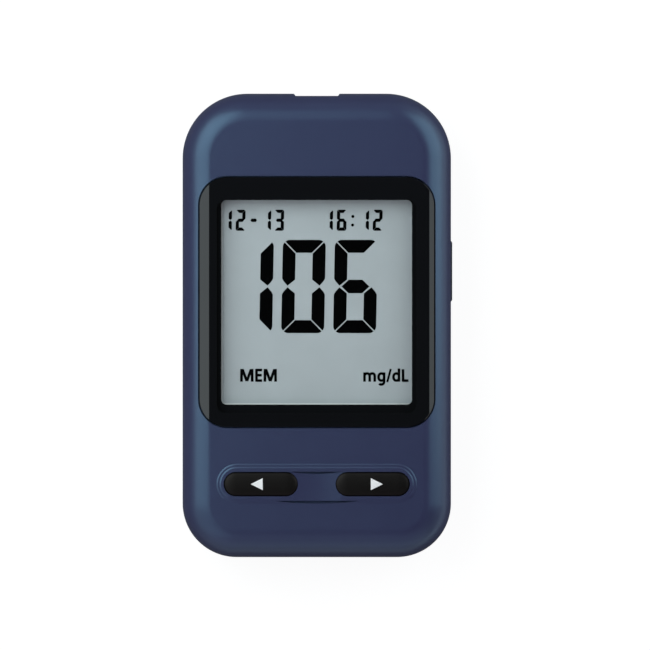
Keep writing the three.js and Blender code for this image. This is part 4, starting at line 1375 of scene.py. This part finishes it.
@dataclass
class Display:
    """The cover window, the picture and the glass, holder and strips behind it."""

    bench: Bench
    case: Case
    window: Outline = Outline(-21.76, 21.74, -18.82, 27.46, 5.2, 5.2)
    strips: int = 40
    chamfer: float = 0.1
    proud: float = 0.2
    underside: float = 15.552
    crease_angle: float = 30.0
    crown_slope: float = 0.4
    crown_near: float = 0.02
    film_top: float = 14.4
    ink: float = 0.012
    big_figures: tuple[tuple[str, float], ...] = (("1", -16.23), ("0", -6.6), ("6", 3.03))
    big_bottom: float = -1.43
    small_shape: DigitShape = DigitShape(
        stroke=2.7, corner=1.7, gap=0.05, tip=0.2, bar_tip=0.45, bar_full=0.85
    )
    small_figures: tuple[tuple[str, float], ...] = (
        ("1", -17.56), ("2", -15.05), ("-", -12.63), ("1", -10.29), ("3", -7.9),
        ("1", 1.18), ("6", 3.68), ("1", 7.87), ("2", 10.35),
    )
    small_bottom: float = 17.54
    small_scale: float = 0.226
    colon: tuple[Point2, ...] = ((6.69, 20.2), (6.64, 18.6))
    colon_radius: float = 0.29
    colon_sides: int = 24
    words: tuple[tuple[str, str, float], ...] = (
        ("word_memory", "MEM", -14.2),
        ("word_unit", "mg/dL", 8.6),
    )
    word_foot: float = -10.44
    # Where the painted highlight strip lies along the display's left edge and foot.
    edge_corner: tuple[float, float, float] = (-16.74, -13.72, 0.7)
    edge_ends: Point2 = (17.7, 23.3)
    edge_width: float = 0.46
    inner_parts: tuple[tuple[str, str, Finish, float], ...] = (
        ("front_glass", "front_glass_plate", Palette.glass, 0.05),
        ("rear_glass", "rear_glass_plate", Palette.glass, 0.05),
        ("display_holder", "holder_frame", Palette.natural, 0.1),
        ("zebra_strip_top", "rubber_strip_top", Palette.rubber, 0.08),
        ("zebra_strip_bottom", "rubber_strip_bottom", Palette.rubber, 0.08),
    )

    def crown(self, x: float, y: float) -> float:
        """Gives the height of the window's top at a point."""
        depth, _ = self.case.outline.depth(x, y)
        return self.case.front_skin(depth) + self.proud

    def crown_normal(self, x: float, y: float) -> Vector:
        """Gives the way the window's top faces.

        Args:
            x: X of the point.
            y: Y of the point.

        Returns:
            The unit normal.
        """
        depth, (out_x, out_y) = self.case.outline.depth(x, y)
        width, rise = self.case.front_edge
        share = max(0.0, 1 - depth / width)
        slope = rise / width * share / math.sqrt(1 - share * share)
        return Vector((out_x * slope, out_y * slope, 1.0)).normalized()

    def window_mesh(self) -> bpy.types.Mesh:
        """Builds the crowned window, cut into narrow strips where it bends.

        Returns:
            The mesh.
        """
        flat_half = self.case.outline.right - self.case.front_edge[0]
        span = self.window.right - flat_half
        places = [flat_half + span * i / self.strips for i in range(self.strips)]
        cuts = [((way * place, 0.0), (1.0, 0.0)) for place in places for way in (-1, 1)]
        outline = self.window.points(0.0, CORNER_STEPS)
        mesh = draped(outline, cuts, self.crown, self.underside, self.chamfer)
        creased(mesh, self.crease_angle)
        self.set_crown_normals(mesh)
        return mesh

    def set_crown_normals(self, mesh: bpy.types.Mesh) -> None:
        """Shades the top of the window as the smooth crown that it stands for.

        Args:
            mesh: The window's mesh.
        """
        normals = [Vector((0.0, 0.0, 0.0))] * len(mesh.loops)
        for face in mesh.polygons:
            x, y, z = (part / MM for part in face.center)
            if face.normal.z <= self.crown_slope or abs(z - self.crown(x, y)) >= self.crown_near:
                continue
            for loop in face.loop_indices:
                corner = mesh.vertices[mesh.loops[loop].vertex_index].co
                normals[loop] = self.crown_normal(corner.x / MM, corner.y / MM)
        mesh.normals_split_custom_set(normals)

    def ink_levels(self) -> Point2:
        """Gives the foot and the top of the ink on the film."""
        return self.film_top - self.ink, self.film_top + self.ink

    def figures_mesh(self) -> bpy.types.Mesh:
        """Builds the lit segments of the big and the small figures.

        Returns:
            The mesh.
        """
        big, outlines = DigitShape(), []
        for sign, left in self.big_figures:
            outlines += big.figure(sign, left, self.big_bottom, 1.0)
        for sign, left in self.small_figures:
            outlines += self.small_shape.figure(sign, left, self.small_bottom, self.small_scale)
        draft, levels = Draft(), self.ink_levels()
        for points in outlines:
            draft.prism(points, *levels)
        for middle in self.colon:
            draft.turned(middle, [(self.colon_radius, z) for z in levels], self.colon_sides)
        return draft.mesh("display_figures")

    def word_mesh(self, word: str, left: float) -> bpy.types.Mesh:
        """Builds one word of the display's fixed segments.

        Args:
            word: The word.
            left: X of its left end.

        Returns:
            The mesh.
        """
        strokes = []
        for sign in word:
            letter = LETTERS[sign]
            for line in letter.strokes:
                placed = [(left + x, self.word_foot + y) for x, y in line]
                stroke = Draft().prism(letter.outline(placed), *self.ink_levels())
                strokes.append(stroke.mesh("stroke"))
            left += letter.advance
        return fused(strokes)

    def edge_highlight_mesh(self) -> bpy.types.Mesh:
        """Builds a pale strip at the left and the foot of the display, a painted highlight for light
        caught by the opening's edge.

        Returns:
            The mesh.
        """
        x, y, radius = self.edge_corner
        right, top = self.edge_ends
        left, foot = x - radius - self.edge_width, y - radius - self.edge_width
        inner = [(right, y - radius), *bow(x, y, radius, radius, 270.0, 180.0), (x - radius, top)]
        points = [(left, top), (left, foot), (right, foot), *inner]
        return Draft().prism(points, *self.ink_levels()).mesh("display_edge_highlight")

    def build(self) -> None:
        """Makes the window, the picture and the parts behind it."""
        bench = self.bench
        bench.put("window_lens", self.window_mesh(), "case", Palette.window, "display_window")
        bench.put("display_figures", self.figures_mesh(), "case", Palette.segment_ink)
        # Painted highlight: a pale strip along the display's left edge and foot.
        bench.put("display_edge_highlight", self.edge_highlight_mesh(), "case", Palette.edge_light)
        for name, word, left in self.words:
            bench.put(name, self.word_mesh(word, left), "case", Palette.segment_ink)
        bench.dress("window_tape", Palette.tape)
        bench.dress("front_polarizer", Palette.film)
        bench.dress("rear_polarizer", Palette.film)
        for part in self.inner_parts:
            bench.refine(*part)


@dataclass
class Keys:
    """The two keys with their arrow marks, and the switches that they press."""

    bench: Bench
    width: float = 13.66
    height: float = 4.4
    top: float = 17.198
    foot: float = 13.6
    cap_steps: int = 20
    flange: tuple[float, float, float] = (0.8, 13.59, 14.3)
    flange_steps: int = 12
    stem_radius: float = 1.3
    stem_ends: Point2 = (12.7, 13.9)
    stem_sides: int = 32
    crown: float = 0.5
    crown_steps: int = 24
    mark_rise: float = 0.012
    mark_chamfer: float = 0.02
    mark_strips: int = 12
    arrow: Point2 = (2.26, 2.25)
    arrow_tip: float = 12.26
    can_rounding: float = 0.12
    plunger_rounding: float = 0.08

    def cap_mesh(self, x: float) -> bpy.types.Mesh:
        """Builds a key: domed cap, flange and stem.

        Args:
            x: X of its middle.

        Returns:
            The mesh.
        """
        shape = stadium(x, KEY_ROW, self.width, self.height)
        start = self.top - self.mark_rise - self.crown
        dome = quarter(self.height / 2, self.crown, self.crown_steps)[:-1]
        levels = [(0.0, self.foot)] + [(inset, start + rise) for inset, rise in dome]
        grow, low, high = self.flange
        stem = [(self.stem_radius, z) for z in self.stem_ends]
        parts = (
            Draft().tower(shape, levels, self.cap_steps),
            Draft().tower(shape, [(-grow, low), (-grow, high)], self.flange_steps),
            Draft().turned((x, KEY_ROW), stem, self.stem_sides),
        )
        return smoothed(fused([welded(part.mesh("key_cap"), "key_cap", False) for part in parts]))

    def arrow_mesh(self, way: float) -> bpy.types.Mesh:
        """Builds the inlaid arrow of a key.

        Args:
            way: -1 for an arrow to the left, 1 for one to the right.

        Returns:
            The mesh.
        """
        length, height = self.arrow
        tip, back, half = way * self.arrow_tip, way * (self.arrow_tip - length), way * height / 2
        points = [(tip, KEY_ROW), (back, KEY_ROW + half), (back, KEY_ROW - half)]
        shares = [i / self.mark_strips - 0.5 for i in range(1, self.mark_strips)]
        cuts = [((0.0, KEY_ROW + height * share), (0.0, 1.0)) for share in shares]
        return draped(points, cuts, self.mark_height, self.top - self.crown, self.mark_chamfer)

    def mark_height(self, _: float, y: float) -> float:
        """Gives the height of a mark's top at a Y, which follows the key's crown."""
        share = abs(y - KEY_ROW) / (self.height / 2)
        return self.top - self.crown * (1 - math.sqrt(1 - share * share))

    def build(self) -> None:
        """Makes both keys, their marks and their switches."""
        bench = self.bench
        for side, way in SIDES:
            body, switch = side + "_key", side + "_switch"
            cap = self.cap_mesh(way * KEY_PITCH / 2)
            bench.put("key_" + side, cap, body, Palette.key, "button_" + side)
            bench.put("arrow_" + side, self.arrow_mesh(way), body, Palette.mark_white)
            bench.refine("switch_" + side, switch + "_can", Palette.black, self.can_rounding)
            node, name = "switch_plunger_" + side, switch + "_plunger"
            bench.refine(node, name, Palette.natural, self.plunger_rounding, body)


@dataclass
class Ejector:
    """The thumb slide with its ribs, the arm and the return spring."""

    bench: Bench
    outer: float = 25.15
    middle: Point2 = (10.05, 7.5)
    slide_rounding: float = 0.05
    rib_pitch: float = 1.15
    rib_count: int = 8
    rib_radius: float = 0.26
    rib_depth: float = 0.13
    rib_sides: int = 20
    rib_half: float = 1.7
    travel: float = 5.0
    wire: float = 0.4
    wire_sides: int = 10
    turns: int = 9
    closed_turns: float = 1.25
    turn_steps: int = 32
    arm_rounding: float = 0.1

    def slide_mesh(self) -> bpy.types.Mesh:
        """Cuts fine grip grooves across the slide.

        Returns:
            The mesh.
        """
        base = welded(self.bench.nodes["ejector_slider"].data, "thumb_slide")
        base = softened(base, self.slide_rounding)
        grooves = Draft()
        x, reach = self.outer + self.rib_radius - self.rib_depth, self.rib_radius
        y, z = self.middle
        for number in range(self.rib_count):
            along = y + (number - (self.rib_count - 1) / 2) * self.rib_pitch
            rim = [
                (x + reach * math.cos(a), along + reach * math.sin(a)) for a in ring(self.rib_sides)
            ]
            grooves.prism(rim, z - self.rib_half, z + self.rib_half)
        return smoothed(combined(base, grooves.mesh("grooves"), Join.DIFFERENCE))

    def spring_mesh(self, low: Vector, high: Vector) -> bpy.types.Mesh:
        """Winds the return spring, with a closed turn at each end.

        Args:
            low: The lowest corner of the room that it fills, in metres.
            high: The highest corner.

        Returns:
            The mesh.
        """
        x, z = (low[0] + high[0]) / 2 / MM, (low[2] + high[2]) / 2 / MM
        radius = (high[2] - low[2]) / 2 / MM - self.wire / 2
        start, run = low[1] / MM + self.wire / 2, (high[1] - low[1]) / MM - self.wire
        open_turns = self.turns - 2 * self.closed_turns
        rise = (run - 2 * self.closed_turns * self.wire) / open_turns
        rings = []
        for step in range(self.turns * self.turn_steps + 1):
            turn = step / self.turn_steps
            open_part = min(max(turn - self.closed_turns, 0.0), open_turns)
            y = start + open_part * rise + (turn - open_part) * self.wire
            angle = 2 * math.pi * turn
            points = []
            for bend in ring(self.wire_sides):
                reach = radius + self.wire / 2 * math.cos(bend)
                along = y + self.wire / 2 * math.sin(bend)
                points.append((x + reach * math.cos(angle), along, z + reach * math.sin(angle)))
            rings.append(points)
        return smoothed(Draft().loft(rings).mesh("return_spring"))

    def build_spring(self) -> None:
        """Makes the return spring on the case, with a mesh of its own."""
        low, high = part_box("ejector_spring")
        mesh = self.spring_mesh(low, high)
        spring = self.bench.put("return_spring", mesh, "case", Palette.zinc, "ejector_spring")
        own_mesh(spring)

    def build(self) -> None:
        """Makes the slide, the arm and the spring."""
        bench, body = self.bench, "ejector"
        bench.put("thumb_slide", self.slide_mesh(), body, Palette.slide, "ejector_slider")
        bench.refine("ejector_arm", "slide_arm", Palette.natural, self.arm_rounding, body)
        self.build_spring()


@dataclass
class Electronics:
    """The circuit board, what it carries and the test strip's connector."""

    bench: Bench
    parts: tuple[tuple[str, str, Finish, float], ...] = (
        ("main_board", "board_plate", Palette.board, 0.05),
        ("controller_chip", "chip_body", Palette.black, 0.12),
        ("clock_crystal", "crystal_can", Palette.nickel, 0.15),
        ("sounder", "sounder_can", Palette.black, 0.2),
        ("strip_connector", "port_connector", Palette.black, 0.06),
        ("strip_contact_1", "port_spring_1", Palette.gold, 0.04),
        ("strip_contact_2", "port_spring_2", Palette.gold, 0.04),
        ("strip_contact_3", "port_spring_3", Palette.gold, 0.04),
    )

    def build(self) -> None:
        """Finishes the board and its parts."""
        for part in self.parts:
            self.bench.refine(*part)


@dataclass
class BatteryBay:
    """The battery door, the two coin cells and their contacts."""

    bench: Bench
    cell_x: float = 10.35
    cell_y: float = -24.0
    radius: float = 10.0
    sides: int = 96
    bottom: float = 1.6
    can_top: float = 4.5
    top: float = 4.8
    edge: float = 0.4
    edge_steps: int = 6
    cap_radius: float = 8.85
    cap_edge: float = 0.12
    seal: tuple[Point2, ...] = ((0.25, 0.0), (0.1, -0.15), (0.0, -0.15))
    sign_size: float = 5.0
    sign_stroke: float = 0.9
    sign_depth: float = 0.12
    can_colour: Colour = (0.66, 0.65, 0.62)
    door_rounding: float = 0.1
    contact_rounding: float = 0.04

    def cell_mesh(self, x: float) -> bpy.types.Mesh:
        """Builds a coin cell with its crimped rim, cap and pressed plus sign.

        Args:
            x: X of its middle.

        Returns:
            The mesh.
        """
        edge = quarter(self.edge, self.edge, self.edge_steps)
        levels = [(self.radius - i, self.bottom + self.edge - r) for i, r in reversed(edge)]
        levels += [(self.radius - i, self.can_top - self.edge + r) for i, r in edge]
        levels += [(self.cap_radius + grow, self.can_top + lift) for grow, lift in self.seal]
        levels.append((self.cap_radius, self.top - self.cap_edge))
        levels.append((self.cap_radius - self.cap_edge, self.top))
        whole = Draft().turned((x, self.cell_y), levels, self.sides).mesh("coin_cell")
        half, thin = self.sign_size / 2, self.sign_stroke / 2
        for wide, tall in ((half, thin), (thin, half)):
            points = oblong(x, self.cell_y, wide, tall)
            pressed = Draft().prism(points, self.bottom - SPARE, self.bottom + self.sign_depth)
            whole = combined(whole, pressed.mesh("sign"), Join.DIFFERENCE)
        return smoothed(whole)

    def build(self) -> None:
        """Makes the door, the cells and the contacts."""
        bench = self.bench
        bench.refine("battery_door", "door_panel", Palette.case, self.door_rounding, "door")
        for side, way in SIDES:
            middle = (way * self.cell_x, self.cell_y)
            can = CellCan("cell_can_" + side, self.can_colour, middle, slot="nickel")
            bench.put("cell_" + side, self.cell_mesh(middle[0]), "case", can, "coin_cell_" + side)
            for sign, name in (("negative", "cell_spring_"), ("positive", "cell_plate_")):
                node = f"{sign}_contact_{side}"
                bench.refine(node, name + side, Palette.nickel, self.contact_rounding)


# ---- studio ----


@dataclass(frozen=True)
class FloorPaint(Finish):
    """White sweep: white to the camera, and still taking the meter's shadow."""

    glow: float = 0.92
    paint: float = 0.16

    def surface(self, shader: Shader) -> Inputs:
        """Builds the sweep.

        Args:
            shader: The tree to build in.

        Returns:
            What goes into the sockets of its Principled BSDF.
        """
        path = shader.node("ShaderNodeLightPath")
        seen = Socket(shader, path.outputs["Is Camera Ray"])
        seen = seen.highest(Socket(shader, path.outputs["Is Transmission Ray"]))
        cloth, paint = shader.noise(60.0, 2.0), (self.paint,) * 3
        return {
            "Base Color": shader.blend(cloth, paint, tinted(paint, 0.98)),
            "Roughness": 0.9 + 0.05 * cloth,
            "Specular IOR Level": 0.0,
            "Emission Color": shader.blend(seen, (0.0,) * 3, (self.glow,) * 3),
            "Emission Strength": 1.0,
        }


def hang_light(name: str, size: Point2, radiance: float, colour: Colour, stand: Matrix) -> None:
    """Hangs a flat soft light that the camera doesn't see.

    Args:
        name: Name of the light.
        size: Its length and width, in metres.
        radiance: How bright its face is.
        colour: Its colour.
        stand: Where it hangs and which way it faces.
    """
    lamp = bpy.data.lights.new(name, "AREA")
    lamp.shape = "RECTANGLE"
    lamp.size, lamp.size_y = size
    lamp.color = colour
    lamp.energy = radiance * math.pi * lamp.size * lamp.size_y
    light = stood(name, lamp)
    light.matrix_world = stand
    light.visible_camera = False


@dataclass(frozen=True)
class Panel:
    """A soft light round the meter: near and far are its edges' angles from straight above."""

    name: str
    azimuth: float
    near: float
    far: float
    distance: float
    width: float
    shift: float
    radiance: float
    colour: Colour = (0.87, 0.97, 1.0)

    def build(self) -> None:
        """Makes the panel, which faces the meter."""
        middle = math.radians((self.near + self.far) / 2)
        half = math.radians((self.far - self.near) / 2)
        turn = Matrix.Rotation(math.radians(self.azimuth), 4, "Z")
        reach = (self.distance * math.sin(middle), self.shift, self.distance * math.cos(middle))
        stand = turn @ Matrix.Translation(reach) @ Matrix.Rotation(middle, 4, "Y")
        size = (2 * self.distance * math.tan(half), self.width)
        hang_light(self.name, size, self.radiance, self.colour, stand)


@dataclass(frozen=True)
class Card:
    """A pale card on the table that throws light up at the meter's side."""

    name: str
    left: float
    right: float
    bottom: float
    top: float
    radiance: float
    height: float = 0.0005
    colour: Colour = (1.0, 1.0, 1.0)

    def build(self) -> None:
        """Makes the card as a soft light that faces upward."""
        middle = ((self.left + self.right) / 2, (self.bottom + self.top) / 2, self.height)
        stand = Matrix.Translation(middle) @ Matrix.Rotation(math.pi, 4, "X")
        size = (self.right - self.left, self.top - self.bottom)
        hang_light(self.name, size, self.radiance, self.colour, stand)


@dataclass
class Studio:
    """White floor, pale surroundings, light panels and the camera."""

    camera_height: float = 3.0
    outline_height: float = 0.009
    view_middle: Point2 = (1.528, 0.075)
    view_width: float = 120.71
    sensor_width: float = 36.0
    clip: Point2 = (0.05, 40.0)
    floor_half: float = 12.0
    floor_top: float = -0.05
    horizon: float = 0.35
    overhead: float = 0.02
    dusk: Point2 = (0.05, 0.75)
    panels: tuple[Panel, ...] = (
        Panel("left_panel", 180.0, 12.0, 72.0, 0.3, 0.44, -0.19, 2.2),
        Panel("left_low_panel", 180.0, 12.0, 77.0, 0.3, 0.28, 0.17, 0.55),
        Panel("right_panel", 0.0, 33.0, 89.0, 0.3, 0.42, 0.19, 1.8),
        Panel("back_panel", 90.0, 18.0, 56.0, 0.3, 0.35, 0.16, 0.48),
        Panel("front_panel", -90.0, 30.0, 88.0, 0.6, 1.0, 0.0, 0.36, (1.0, 0.82, 1.0)),
    )
    cards: tuple[Card, ...] = (
        Card("right_card", 0.05, 0.25, -0.15, 0.25, 0.6),
        Card("front_card", -0.12, 0.12, -0.25, -0.07, 0.4),
    )

    def build_camera(self) -> None:
        """Stands the camera straight above the meter, framed as the photograph is."""
        data = bpy.data.cameras.new("camera")
        data.sensor_width = self.sensor_width
        reach = self.camera_height - self.outline_height
        data.lens = data.sensor_width * reach / (self.view_width * MM)
        data.clip_start, data.clip_end = self.clip
        camera = stood("camera", data)
        camera.location = (self.view_middle[0] * MM, self.view_middle[1] * MM, self.camera_height)
        bpy.context.scene.camera = camera

    def build_world(self) -> None:
        """Makes surroundings that are white at eye level and dark overhead."""
        world = bpy.data.worlds.new("studio")
        world.use_nodes = True
        bpy.context.scene.world = world
        shader = Shader(world.node_tree)
        point = shader.value("ShaderNodeTexCoord", output="Generated")
        split = shader.node("ShaderNodeSeparateXYZ", None, {0: point})
        high = Socket(shader, split.outputs[2]).step(*self.dusk)
        path = shader.node("ShaderNodeLightPath")
        seen = Socket(shader, path.outputs["Is Camera Ray"])
        light = shader.blend(high, (self.horizon,) * 3, (self.overhead,) * 3)
        inputs = {"Color": shader.blend(seen, light, (1.0,) * 3), "Strength": 1.0}
        shader.finish("ShaderNodeBackground", inputs, "ShaderNodeOutputWorld")

    def build_floor(self) -> None:
        """Lays the floor that the meter lies on."""
        draft, half = Draft(), self.floor_half / MM
        draft.corners = [(x, y, self.floor_top) for x, y in oblong(0.0, 0.0, half, half)]
        draft.faces = [(0, 1, 2, 3)]
        mesh = draft.mesh("floor")
        floor = stood("floor", mesh)
        mesh.materials.append(FloorPaint("floor_paint").material())

    def build(self) -> None:
        """Makes the camera, the surroundings, the floor and the lights."""
        self.build_camera()
        self.build_world()
        self.build_floor()
        for light in (*self.panels, *self.cards):
            light.build()
        bpy.context.scene.view_settings.view_transform = "Standard"


def main() -> None:
    """Builds the meter's pieces in order, and the studio round them."""
    logging.basicConfig(level=logging.INFO, format="%(name)s: %(message)s")
    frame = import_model()
    bench = Bench(frame)
    case = Case(bench)
    Studio().build()
    case.build()
    Display(bench, case).build()
    Keys(bench).build()
    Electronics(bench).build()
    Ejector(bench).build()
    BatteryBay(bench).build()


if __name__ == "__main__":
    main()
